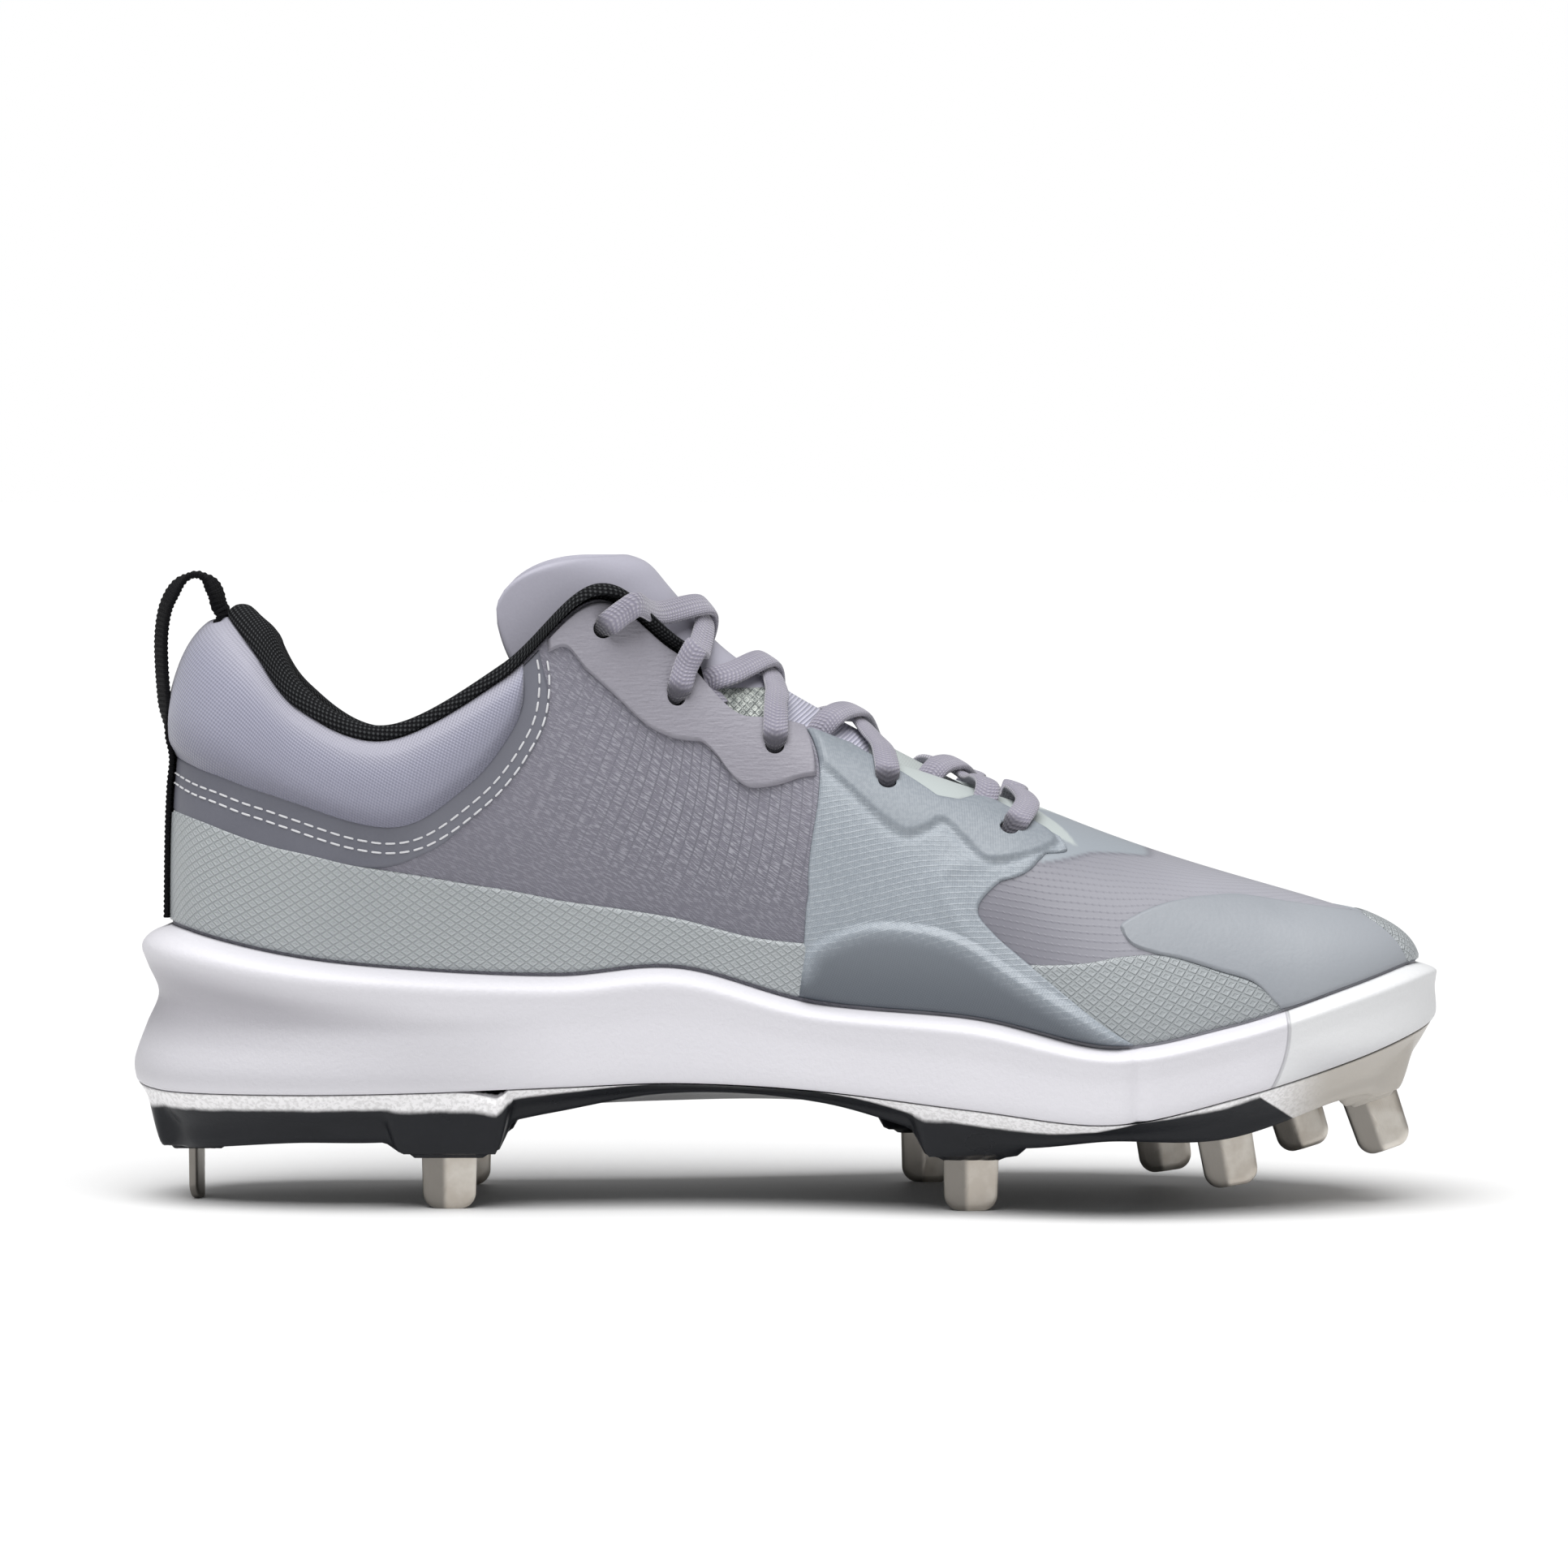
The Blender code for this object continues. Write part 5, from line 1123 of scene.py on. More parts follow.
add_band()
knots = np.array([(0.10, 0.478)] + [knot for knot in COLLAR_SEAM if knot[0] > 0.5] + [(4.18, 1.03)])
seam = open_spline(knots, np.linspace(0, len(knots) - 1, 600))
for row, below in (("upper", 3.4 * MM), ("lower", 5.6 * MM)):
    line_around, line_up = beside(seam[:, 0], seam[:, 1], -below)
    held = line_up < 0.985
    line_around, line_up = line_around[held], line_up[held]
    add_stitches("collar_stitches_" + row + "_medial", line_around, line_up)
    add_stitches("collar_stitches_" + row + "_lateral", -line_around[::-1], line_up[::-1])
collar_panel = add_collar_panel()
print("collar panel:", len(collar_panel.data.polygons), "faces")

# %% [markdown]
# ## Lining
#
# Inside the collar lies a padded spacer knit, turned over the edge in a roll that shows as a black line from
# outside. Its section is a closed curve through ten points, so the roll, the pad and the part hidden behind the
# shell are one piece. Beside the throat the roll moves outward and becomes the thin cord that edges the film.

# %% Lining and rolled edge
LINING_PAD, COLLAR_ROLL = 0.0055, 0.0045
# around, the section's low end on the rib, pad and roll as shares of the two sizes above, and the cord's shift
LINING = np.array([(0.00, 0.50, 1.00, 1.15, 0.0), (0.50, 0.50, 1.00, 1.35, 0.0), (0.90, 0.50, 1.00, 1.65, 0.0),
                   (1.35, 0.50, 1.00, 1.75, 0.0), (1.80, 0.50, 1.00, 1.40, 0.0), (2.40, 0.50, 0.90, 0.95, 0.0),
                   (3.00, 0.50, 0.90, 0.74, 0.0), (4.00, 0.50, 0.80, 0.74, 0.1), (4.60, 0.75, 0.45, 0.72, 0.5),
                   (5.05, 0.75, 0.22, 0.70, 0.95), (5.60, 0.75, 0.20, 0.70, 0.95), (6.10, 0.75, 0.20, 0.66, 0.95),
                   (6.19, 0.75, 0.15, 0.30, 0.8)])
LINING_END = LINING[-1, 0]


def lining_points(around, sides=40):
    """Closed sections round the lining: up behind the shell, over its edge in a roll, down the inside. Beside the
    throat the roll is a cord that lies outside, on the film's edge."""
    table = open_spline(LINING, np.linspace(0, len(LINING) - 1, 400))
    low, pad, roll, lean = (np.interp(np.abs(around), table[:, 0], table[:, column]) for column in (1, 2, 3, 4))
    pad, roll = pad * LINING_PAD, roll * COLLAR_ROLL
    out = roll * lean
    back, seat = WALL + 2.5 * CLEARANCE, CLEARANCE
    _, rising, normal = upper_directions(around, 1.0)
    edge, rising = upper_point(around, 1.0), unit(rising)

    def at_edge(up, out):
        up, out = (np.broadcast_to(size, around.shape)[:, None] for size in (up, out))
        return edge + rising * up + normal * out

    middle = (low + 1) / 2
    knots = np.stack([
        skin(around, low, -back), skin(around, middle, -back), at_edge(seat, -back),
        at_edge(seat - roll * 0.12 * (1 - lean), roll * 0.16 + out), at_edge(seat + roll * 0.45, roll * 0.24 + out),
        at_edge(seat + roll * 0.90, out - roll * 0.20), at_edge(seat + roll * 0.80, out - roll * 0.80 - pad * 0.2),
        at_edge(seat, -back - pad * 0.85),
        skin(around, middle, -back - pad), skin(around, low, -back - pad * 0.35)])
    return closed_spline(knots, np.linspace(0, len(knots), sides + 1))


def add_lining():
    """The sections, closed at both ends to their centres. UVs are metres along the piece and over the section."""
    points = lining_points(np.linspace(-LINING_END, LINING_END, 420))
    centre = points[:-1].mean(axis=0)
    first, last = (np.repeat(centre[None, [end]], len(points), axis=0) for end in (0, -1))
    points = np.concatenate([first, points, last], axis=1)
    over = np.cumsum(np.linalg.norm(np.diff(points, axis=0, prepend=points[:1]), axis=2), axis=0)
    uv = np.stack(np.broadcast_arrays(walked(points.mean(axis=0)), over), axis=-1)
    return add_grid("collar_roll", points, uv, knit, "black_knit", ["collar_lining"])


lining = add_lining()
print("lining:", len(lining.data.polygons), "faces")

# %% [markdown]
# ## Tongue
#
# The tongue is a soft padded tab that is sewn in under the vamp, follows the instep and stands free at its top.
# One table gives its crest, its width and how far its wings drop, and every section across it is part of an
# ellipse. A real one is a sandwich of cloths round foam, so the slab gets thinner towards its border, and
# the border itself is a half circle in section.

# %% The tongue, a padded arch that wraps over the instep
TONGUE_PAD = 0.008
# along, rise and the crest's slope in degrees; half width, drop of the wings, pad, and how far round the arch goes
TONGUE = np.array([
    (0.745, 0.200, 20.0, 0.24, 0.10, 0.30, 0.85), (0.670, 0.355, 21.0, 0.34, 0.20, 0.34, 1.00),
    (0.580, 0.540, 25.0, 0.42, 0.32, 0.42, 1.00), (0.507, 0.698, 32.0, 0.40, 0.44, 0.55, 1.00),
    (0.453, 0.840, 42.0, 0.37, 0.60, 0.70, 1.00), (0.415, 1.010, 56.0, 0.365, 0.75, 0.85, 1.00),
    (0.396, 1.095, 74.0, 0.365, 0.72, 0.95, 0.98), (0.376, 1.128, 88.0, 0.36, 0.60, 0.80, 0.92)])
TONGUE_END = len(TONGUE) - 1
TONGUE_CUT, TONGUE_CORNER = 0.17, 0.45  # rows that the wings lose at the top, and where across that starts


def tongue_point(row, across):
    """Arch across the tongue: y = half sin(a), and the fall drop (1 - cos(a)) leans back by swing."""
    row, across = np.broadcast_arrays(np.asarray(row, float), np.asarray(across, float))
    along, rise, swing, half, drop, _, span = np.moveaxis(open_spline(TONGUE, row), -1, 0)
    angle = across * span * math.pi / 2
    fall = drop * HALF_BALL * (1 - np.cos(angle))
    swing = np.radians(swing)
    return np.stack([(along - 0.5) * LENGTH - fall * np.sin(swing), half * HALF_BALL * np.sin(angle),
                     SOLE_TOP + rise * INSTEP_RISE - fall * np.cos(swing)], axis=-1)


def tongue_frame(row, across):
    """Point and outward normal of the tongue's face."""
    rise = tongue_point(row + 0.03, across) - tongue_point(row - 0.03, across)
    over = tongue_point(row, across + 0.03) - tongue_point(row, across - 0.03)
    normal = unit(np.cross(over, rise))
    return tongue_point(row, across), normal * np.where(normal[..., :1] < 0, -1.0, 1.0)


def add_tongue():
    """Outer and inner faces, a pad apart. Within half a pad of the border both draw in to its middle as a half
    circle: 1 - sqrt(1 - (1 - t)^2)."""
    row, across = np.meshgrid(clustered(120, 0.001, 0.003) * TONGUE_END, clustered(78, 0.004, 0.01) * 2 - 1,
                              indexing="ij")
    below_top = TONGUE_END - row
    corner = np.clip((np.abs(across) - TONGUE_CORNER) / (1 - TONGUE_CORNER), 0, 1)
    row = row * (1 - TONGUE_CUT * (1 - np.sqrt(1 - corner**2)))
    point, normal = tongue_frame(row, across)
    pad = open_spline(TONGUE, row)[..., 5] * TONGUE_PAD
    thick = pad * (0.35 + 0.65 * smooth(0, 0.3, 1 - np.abs(across)))
    thick = thick * (0.45 + 0.55 * smooth(0, 0.8, below_top))
    gap = edge_gap(point)
    inward = 1 - np.clip(gap / (0.5 * thick + 1e-9), 0, 1)
    pinch = 0.5 * thick * (1 - np.sqrt(1 - inward**2))
    outer = point - normal * pinch[..., None]
    inner = point - normal * (thick - pinch)[..., None]
    uv = np.stack([row * 0.022, across * 0.03], axis=-1)
    return add_slab("tongue_pad", outer, inner, uv, tongue_cloth, "tongue_fabric", ["tongue"])


tongue = add_tongue()
print("tongue:", len(tongue.data.polygons), "faces")

# %% [markdown]
# ## Foam midsole
#
# The midsole is moulded foam: a wall that leans out to the outline, a groove that runs into the heel's flare, and a
# rim that cups the upper. The wall is one profile of nine points, blended between a heel form and a plain form by
# how far back it stands. It is carried round the outline, and closed above and below by rows that run in to the
# middle line, so there is no pole where faces would crowd.

# %% Foam: a side wall carried round the outline, closed to the middle line above and below
# inset at the heel and elsewhere as shares of the rim's, and height, from the foam's underside to its rim
FOAM_WALL = np.array([(0.10, 0.10, 0.00), (0.02, 0.03, 0.03), (0.00, 0.00, 0.15), (0.32, 0.02, 0.36),
                      (0.65, 0.04, 0.56), (0.36, 0.01, 0.74), (0.20, 0.00, 0.86), (0.44, 0.19, 0.94),
                      (1.00, 0.53, 1.00)])
FINE_COLUMNS, CLOSING = 600, 8
CREASE_PLACE, CREASE_DEPTH, CREASE_WIDTH = 79.5 * MM, 0.9 * MM, 1.5 * MM  # the fold in the wall at the toe's flex


def closing_rows(border, count, dish=0.0):
    """Rows from a ring in to the middle line: each point goes straight to half-way between it and its mirror."""
    middle = (border + border[::-1]) / 2
    share = np.linspace(0, 1, count + 1)[1:, None, None]
    rows = border + (middle - border) * share
    rows[..., 2] += dish * (1 - (1 - share[..., 0])**2)
    return rows


def add_midsole():
    """Rows: underside from the middle line out, side wall, inside of the rim, and the floor in to the middle."""
    around = np.linspace(0, STATIONS, FINE_COLUMNS + 1)
    weight = heel_share(around)
    bottom, rise = sole(FOAM, around), sole(BITE, around) - sole(FOAM, around)
    profile = open_spline(FOAM_WALL, np.linspace(0, len(FOAM_WALL) - 1, 50))
    crease = CREASE_DEPTH * np.exp(-((plan(around)[:, 0] - CREASE_PLACE) / CREASE_WIDTH)**2)
    inset = profile[:, :1] * weight + profile[:, 1:2] * (1 - weight)
    wall = np.stack([ring(around, RIM_INSET * share + crease, bottom + rise * height)
                     for share, height in zip(inset, profile[:, 2])])
    floor = ring(around, rim_inset(around) + 0.001, sole(FOOTBED, around))
    inside = wall[-1] + (floor - wall[-1]) * np.linspace(0, 1, 6)[1:, None, None]
    points = np.concatenate([closing_rows(wall[0], CLOSING)[::-1], wall, inside, closing_rows(floor, CLOSING)])
    hollow = np.zeros(points.shape[:2])
    height = profile[:, 2:]
    # the groove's mark, where the foam is painted grey as shade
    hollow[CLOSING:CLOSING + len(wall)] = smooth(0.08, 0.50, inset) * smooth(0.1, 0.3, height) * smooth(
        0.9, 0.75, height)
    return add_grid("foam_midsole", points, section_uv(around, points), foam, "foam", ["midsole"],
                    marks={"hollow": hollow})


midsole = add_midsole()
print("midsole:", len(midsole.data.polygons), "faces")

# %% [markdown]
# ## Moulded plate and its blades
#
# The plate is injection moulded, black where it must be stiff and clear at its edge. Raised seats hold nine steel
# blades. The plate is built like the foam, a wall carried round the outline, and each seat is pressed into its
# underside: points inside a rounded rectangle are lowered to the seat's plane, and those beside it slope up to the
# sole. One table of studs gives both the seats and the blades, so that they always meet.

# %% Studs: where each blade stands, and the raised seats
BLADE_WIDTH, BLADE_THICK, BLADE_LENGTH = 0.0127, 0.002, 0.0117
# along, across, tip above the floor as a share of STUD_DROP, yaw and lean in degrees, the seat's length and width
STUDS = {"rear": (0.050, 0.00, 0.00, 90.0, 0.0, 2.0, 1.5), "heel_medial": (0.245, -0.45, 0.00, 0.0, 0.0, 2.1, 1.1),
         "heel_lateral": (0.250, 0.47, 0.00, 0.0, 0.0, 2.1, 1.1),
         "ball_medial": (0.642, -0.54, 0.00, 0.0, 0.0, 1.9, 1.2),
         "ball_lateral": (0.613, 0.58, 0.00, 0.0, 0.0, 1.9, 1.2),
         "fore_medial": (0.842, -0.50, 0.46, 0.0, 10.0, 1.9, 1.1),
         "fore_lateral": (0.800, 0.48, 0.27, 0.0, 8.0, 1.9, 1.1),
         "toe_medial": (0.962, -0.30, 1.06, 0.0, 19.0, 1.1, 0.9),
         "toe_lateral": (0.906, 0.20, 0.86, 0.0, 17.0, 1.1, 0.9)}


SEAT_HALF = 0.40  # half of a seat's flat top, as a share of its size


def stud_matrix(along, across, tip, yaw, lean):
    """The stud's frame: origin in the middle of its tip, Z up the blade."""
    place = Vector(((along - 0.5) * LENGTH, across * HALF_BALL, tip * STUD_DROP))
    turn = Matrix.Rotation(math.radians(yaw), 4, "Z") @ Matrix.Rotation(math.radians(-lean), 4, "Y")
    return Matrix.Translation(place) @ turn


def seat_drop(points):
    """Lower the plate's underside to each stud's seat, with the mask 1 inside a rounded rectangle."""
    height = points[..., 2].copy()
    for along, across, tip, yaw, lean, long, wide in STUDS.values():
        axes = np.array(stud_matrix(along, across, tip, yaw, lean))
        normal, centre = axes[:3, 2], axes[:3, 3] + axes[:3, 2] * (BLADE_LENGTH + CLEARANCE)
        flat = points[..., :2] - centre[:2]
        c, s = math.cos(math.radians(yaw)), math.sin(math.radians(yaw))
        x, y = flat[..., 0] * c + flat[..., 1] * s, -flat[..., 0] * s + flat[..., 1] * c
        seat = centre[2] - (normal[0] * flat[..., 0] + normal[1] * flat[..., 1]) / normal[2]
        half_x, half_y = long * BLADE_WIDTH * SEAT_HALF, wide * BLADE_WIDTH * SEAT_HALF
        for grow, lift, slope in ((1.0, 1.0 * MM, 4.5 * MM), (0.72, 0.0, 1.2 * MM)):
            gap = np.hypot(np.maximum(np.abs(x) - half_x * grow, 0), np.maximum(np.abs(y) - half_y * grow, 0))
            mask = 1 - smooth(0, slope, gap)
            height = height + np.minimum(seat + lift - height, 0) * mask
    lowered = points.copy()
    lowered[..., 2] = height
    return lowered


# the plate's wall: inset as a share of PLATE_INSET, and height, from its underside to the foam
PLATE_WALL = np.array([(1.02, 0.00), (0.88, 0.12), (0.74, 0.38), (0.42, 0.66)])
PLATE_DISH, SEAM_INSET = 2.5 * MM, 0.10 * RIM_INSET


def add_plate():
    """Rows: dished underside, side wall, and the top under the foam. The UV's second value counts in metres from
    the seam with the foam, so that the clear edge can follow it."""
    around = np.linspace(0, STATIONS, FINE_COLUMNS + 1)
    low, rise = sole(PLATE, around), sole(FOAM, around) - sole(PLATE, around)
    seam = ring(around, SEAM_INSET, sole(FOAM, around) - CLEARANCE)
    knots = np.stack([ring(around, inset * PLATE_INSET, low + rise * height) for inset, height in PLATE_WALL]
                     + [seam])
    wall = open_spline(knots, np.linspace(0, len(knots) - 1, 28))
    under = closing_rows(wall[0], 36, PLATE_DISH)[::-1]
    points = np.concatenate([seat_drop(under), seat_drop(wall), closing_rows(seam, 4)])
    uv = section_uv(around, points)
    uv[..., 1] = np.abs(uv[..., 1] - uv[len(under) + len(wall) - 1, :, 1])
    return add_grid("moulded_plate", points, uv, plastic, "plate_plastic", ["outsole_plate"])


plate = add_plate()
print("plate:", len(plate.data.polygons), "faces")

# %% [markdown]
# ## Blades
#
# Each blade is stamped from steel strip and folded a little, so that it bites without bending. Its face is an
# outline shrunk ring by ring to the middle, thinner at the rim for the bevel, and mirrored for the other face.

# %% Blades: a folded strip of steel with round lower corners and a bevelled rim
BLADE_CORNER, BLADE_ROOT = 3.6 * MM, 1.5 * MM  # the lower corners' radius, and how far the blade goes into its seat
FOLD_PLACE, FOLD_SLOPES = -0.16, (0.30, 0.10)  # share of the half width, and the slope on either side of it


def add_blade(name, row):
    """Rings shrink from the rim to the middle. The outline has straight sides that draw in by a twentieth, square
    upper corners inside the seat and lower corners of a quarter circle. The strip is folded once, off its middle."""
    half, tall, corner = BLADE_WIDTH / 2, BLADE_LENGTH + BLADE_ROOT, BLADE_CORNER
    turn = np.linspace(0, math.pi / 2, 13)
    right = np.stack([half - corner + corner * np.sin(turn), corner - corner * np.cos(turn)], axis=-1)
    rising = np.stack([np.full(14, half), np.linspace(corner, tall, 15)[1:]], axis=-1)
    across = np.stack([np.linspace(half, -half, 21)[1:-1], np.full(19, tall)], axis=-1)
    left = np.concatenate([rising[::-1], right[::-1]]) * [-1, 1]
    floor = np.stack([np.linspace(corner - half, half - corner, 17)[1:-1], np.zeros(15)], axis=-1)
    outline = np.concatenate([right, rising, across, left, floor, right[:1]])
    outline[:, 0] *= 0.95 + 0.05 * outline[:, 1] / tall
    inset = np.array([0.0, 0.08, 0.3, 0.8, 1.6, 2.0, 3.6, 5.2]) * MM
    thick = np.array([0.55, 0.72, 0.86, 1.0, 1.0, 1.0, 1.0, 1.0]) * BLADE_THICK / 2
    centre = np.array([0.0, tall / 2])
    reach = 1 - inset[:, None] / half
    x = outline[None, :, 0] * reach
    z = centre[1] + (outline[None, :, 1] - centre[1]) * (1 - inset[:, None] / (tall / 2))
    x, z = np.concatenate([x, x[-1:] * 0]), np.concatenate([z, z[-1:] * 0 + centre[1]])
    thick = np.append(thick, thick[-1])
    x, z, depth = np.concatenate([x, x[::-1]]), np.concatenate([z, z[::-1]]), np.concatenate([-thick, thick[::-1]])
    x, z = np.concatenate([x, x[:1]]), np.concatenate([z, z[:1]])
    depth = np.append(depth, depth[0])
    fold = FOLD_PLACE * half
    bend = FOLD_SLOPES[0] * np.maximum(fold - x, 0) + FOLD_SLOPES[1] * np.maximum(x - fold, 0)
    local = np.stack([x, bend + depth[:, None], z], axis=-1)
    matrix = np.array(stud_matrix(*row[:5]))
    points = local @ matrix[:3, :3].T + matrix[:3, 3]
    return add_grid("metal_blade_" + name, points, local[..., [0, 2]], metal, "blade_metal", ["blade_" + name],
                    sharp=28)


blades = [add_blade(name, row) for name, row in STUDS.items()]
print(len(blades), "blades")

# %% [markdown]
# ## Insole
#
# A thin removable footbed of foam under a cloth. It is the shell's inner foot line moved in by the clearance, with
# its upper edge rounded in three steps, and it is closed to the middle line as the foam is.

# %% Insole
def add_insole():
    """Rows: underside, upright edge, rounded edge, and the top in to the middle line."""
    around = np.linspace(0, STATIONS, 241)
    inset = rim_inset(around) + FOOT_INSET + WALL + CLEARANCE
    low = sole(FOOTBED, around) + CLEARANCE
    rows = [ring(around, inset + step, low + height) for step, height in
            ((0, 0), (0, 3 * MM), (0.4 * MM, 4 * MM), (1.5 * MM, 4.5 * MM))]
    points = np.concatenate([closing_rows(rows[0], 6)[::-1], np.stack(rows), closing_rows(rows[-1], 20)])
    return add_grid("insole_board", points, points[..., :2].copy(), insole_cloth, "insole_fabric", ["insole"])


insole = add_insole()
print("insole:", len(insole.data.polygons), "faces")

# %% [markdown]
# ## Pull loop
#
# A strip of ribbed webbing is sewn up the back of the heel, stands free in a loop and comes back inside the collar.
# Its path is a row of places on the heel and in the air, and a flat section with rounded corners is carried
# along it. Real webbing never stands quite straight, so its two free strands are each turned by some degrees.

# %% Ribbed webbing
LOOP = ((0.0265, 0.623), (0.0237, 0.716), (0.0215, 0.843), (0.0215, 0.943), (0.0250, 1.030), (0.0330, 1.095),
        (0.0410, 1.126), (0.0490, 1.136), (0.0570, 1.120), (0.0630, 1.080), (0.0655, 1.040))
STRAP_WIDTH, STRAP_THICK, STRAP_SIDES = 0.010, 0.0015, 24
STRAP_RIB, STRAP_RIB_PITCH = 0.12 * MM, 1.15 * MM
# where each strand's turn starts, is whole, starts to end and is over, as shares of the path; then its degrees
STRAP_TURNS = ((0.27, 0.34, 0.50, 0.60, 17), (0.64, 0.70, 0.78, 0.86, 13))


def add_loop():
    """The webbing's thickness is its plain one plus a rib's sine along its length."""
    def on_heel(ups):
        return skin(np.zeros(len(ups)), np.array(ups), 1.4 * CLEARANCE + STRAP_THICK / 2)

    free = [((along - 0.5) * LENGTH, 0.0, SOLE_TOP + rise * HEEL_RISE) for along, rise in LOOP]
    knots = np.vstack([on_heel((0.02, 0.10, 0.20, 0.30, 0.40, 0.48)), free, on_heel((0.975, 0.90, 0.80, 0.70, 0.64))])
    knots[:, 1] = 0.0
    path = open_spline(knots, np.linspace(0, len(knots) - 1, 900))
    tangent = unit(np.gradient(path, axis=0))
    share = np.linspace(0, 1, len(path))
    twist = sum(np.radians(degrees) * smooth(start, whole, share) * (1 - smooth(ease, over, share))
                for start, whole, ease, over, degrees in STRAP_TURNS)
    flat_out = np.cross(tangent, [0.0, 1.0, 0.0])
    side = np.array([0.0, 1.0, 0.0]) * np.cos(twist)[:, None] + flat_out * np.sin(twist)[:, None]
    out = np.cross(tangent, side)
    ribs = STRAP_RIB * np.sin(walked(path) / STRAP_RIB_PITCH * 2 * math.pi)
    points, uv = swept_strap(path, side, out, STRAP_WIDTH, STRAP_THICK + 2 * ribs, (0.35, 0.5), STRAP_SIDES,
                             6 * math.pi * MM)
    add_grid("pull_loop_webbing", points, uv, webbing, "black_knit", ["pull_loop"])
    return walked(path)[-1]


print("pull loop:", round(add_loop() / MM), "mm of webbing")

# %% [markdown]
# ## Eyelets
#
# The eyelets are punched holes with no rings. Cutting them needs no redrawing of the grids: a round punch stands
# square on the upper at each eyelet, and a Boolean takes it out of the film and of the shell under it.

# %% Punch the eyelets
EYELETS = ((5.04, 0.91), (5.75, 0.80), (6.46, 0.77), (7.21, 0.78), (8.00, 0.72))
PUNCH_RADIUS, PUNCH_DEPTH = 2.2 * MM, 4.0 * MM


def add_punches():
    """One mesh of round bars, their axes on the upper's normals."""
    marks = np.array(EYELETS + tuple((STATIONS - place, up) for place, up in EYELETS))
    forward, _, normal = upper_directions(marks[:, 0], marks[:, 1])
    centre, forward = upper_point(marks[:, 0], marks[:, 1]), unit(forward)
    theta = np.linspace(0, 2 * math.pi, 33)
    ringed = forward[:, None] * np.cos(theta)[:, None] + np.cross(normal, forward)[:, None] * np.sin(theta)[:, None]
    rows = [centre[:, None] + ringed * (PUNCH_RADIUS * wide) + normal[:, None] * (PUNCH_DEPTH * high)
            for wide, high in ((0, -1), (1, -1), (1, 1), (0, 1))]
    return add_row("eyelet_punches", np.stack(rows, axis=1), [0, 1], lilac_film, "lilac_film")


def punch(piece, tool):
    """Take the tool's volume out of a piece, and keep the result as its mesh."""
    cut = piece.modifiers.new("eyelets", "BOOLEAN")
    cut.operation, cut.solver, cut.object = "DIFFERENCE", "MANIFOLD", tool
    seen = piece.evaluated_get(bpy.context.evaluated_depsgraph_get())
    mesh = bpy.data.meshes.new_from_object(seen)
    piece.modifiers.clear()
    piece.data = mesh


punches = add_punches()
for piece in [upper] + [film for film in films if film.name.startswith(("eyestay", "saddle"))]:
    before = len(piece.data.polygons)
    punch(piece, punches)
    print(piece.name, before, "faces before punching,", len(piece.data.polygons), "after")
bpy.data.objects.remove(punches)

# %% [markdown]
# ## Laces
#
# A flat-oval woven lace runs as a bar under the lowest pair of eyelets and crosses over the tongue four times. Each
# strand is one spline through a few stops: into the eyelet, up to the throat's edge, over the tongue, and down on
# the other side. The lace's flat side has to lie on whatever is under it, so every stop also carries the
# surface's normal. At a crossing the far strand is lifted over the near one by the lace's own thickness. The photo
# shows no bow, so the ends stay inside at the top eyelets.

# %% Lace routes over the tongue and through the eyelets
LACE_WIDTH, LACE_THICK, LACE_SIDES = 0.0058, 0.0018, 24
LACE_PATH_POINTS = 200
LACE_OVER_UPPER = FILM_LIFT + 1.5 * MM + LACE_THICK / 2
LACE_OVER_TONGUE = 4 * CLEARANCE + LACE_THICK / 2
CORD = 2.8 * MM  # how far the cord beside the throat lifts a strand that passes over it
# each strand's first end, the places where it crosses the two edges of the throat, and its last end; an end is
# around, up, and whether it goes into an eyelet there
LACES = {"lace_bar": ((8.00, 0.72, True), 9.15, 14.85, (16.00, 0.72, True)),
         "lace_crossing_1": ((5.75, 0.80, True), 6.10, 18.60, (18.96, 0.91, True)),
         "lace_crossing_2": ((6.46, 0.77, True), 6.74, 17.72, None),
         "lace_crossing_3": ((7.21, 0.78, True), 7.52, 16.93, None),
         "lace_crossing_4": ((7.95, 0.80, False), 8.50, 16.08, None)}


def nearest_on_tongue(point):
    """Row and place across on the tongue's face closest to a point."""
    across = math.asin(max(-0.95, min(0.95, point[1] / (TONGUE[3][3] * HALF_BALL)))) / (math.pi / 2)
    rows = np.linspace(0, TONGUE_END, 200)
    return rows[np.argmin(np.linalg.norm(tongue_point(rows, across) - point, axis=1))], across


def on_upper(around, up, lift=LACE_OVER_UPPER):
    """A point lifted off the upper, and the normal there."""
    normal = upper_directions(np.float64(around), np.float64(up))[2]
    return upper_point(around, up) + normal * lift, normal


def cord_lift(around):
    """How far a strand rises to pass over the cord, which ends beside the second eyelet."""
    return CORD * smooth(6.45, 6.20, min(around, STATIONS - around))


def lace_end(end, edge):
    """Stops from an end to the throat's edge. An eyelet's end plunges through it; one that isn't sinks under the
    film; and an end that is None comes out from under the edge itself."""
    if end is None:
        under = -WALL - LACE_THICK / 2 - 0.4 * MM
        return [on_upper(edge, 0.90, under - 0.8 * MM), on_upper(edge, 0.99, under)]
    place, up, eyelet = end
    way = [(place + (edge - place) * share, up + (1 - up) * share) for share in (0.16, 0.58)]
    first = [on_upper(place, up, -3.4 * MM), on_upper(place, up, -0.4 * MM)] if eyelet else [
        on_upper(place, up, -1.2 * MM)]
    return first + [on_upper(*stop, LACE_OVER_UPPER + cord_lift(edge) * smooth(0.86, 1.0, stop[1]))
                    for stop in way[0 if eyelet else 1:] + [(edge, 1.0)]]


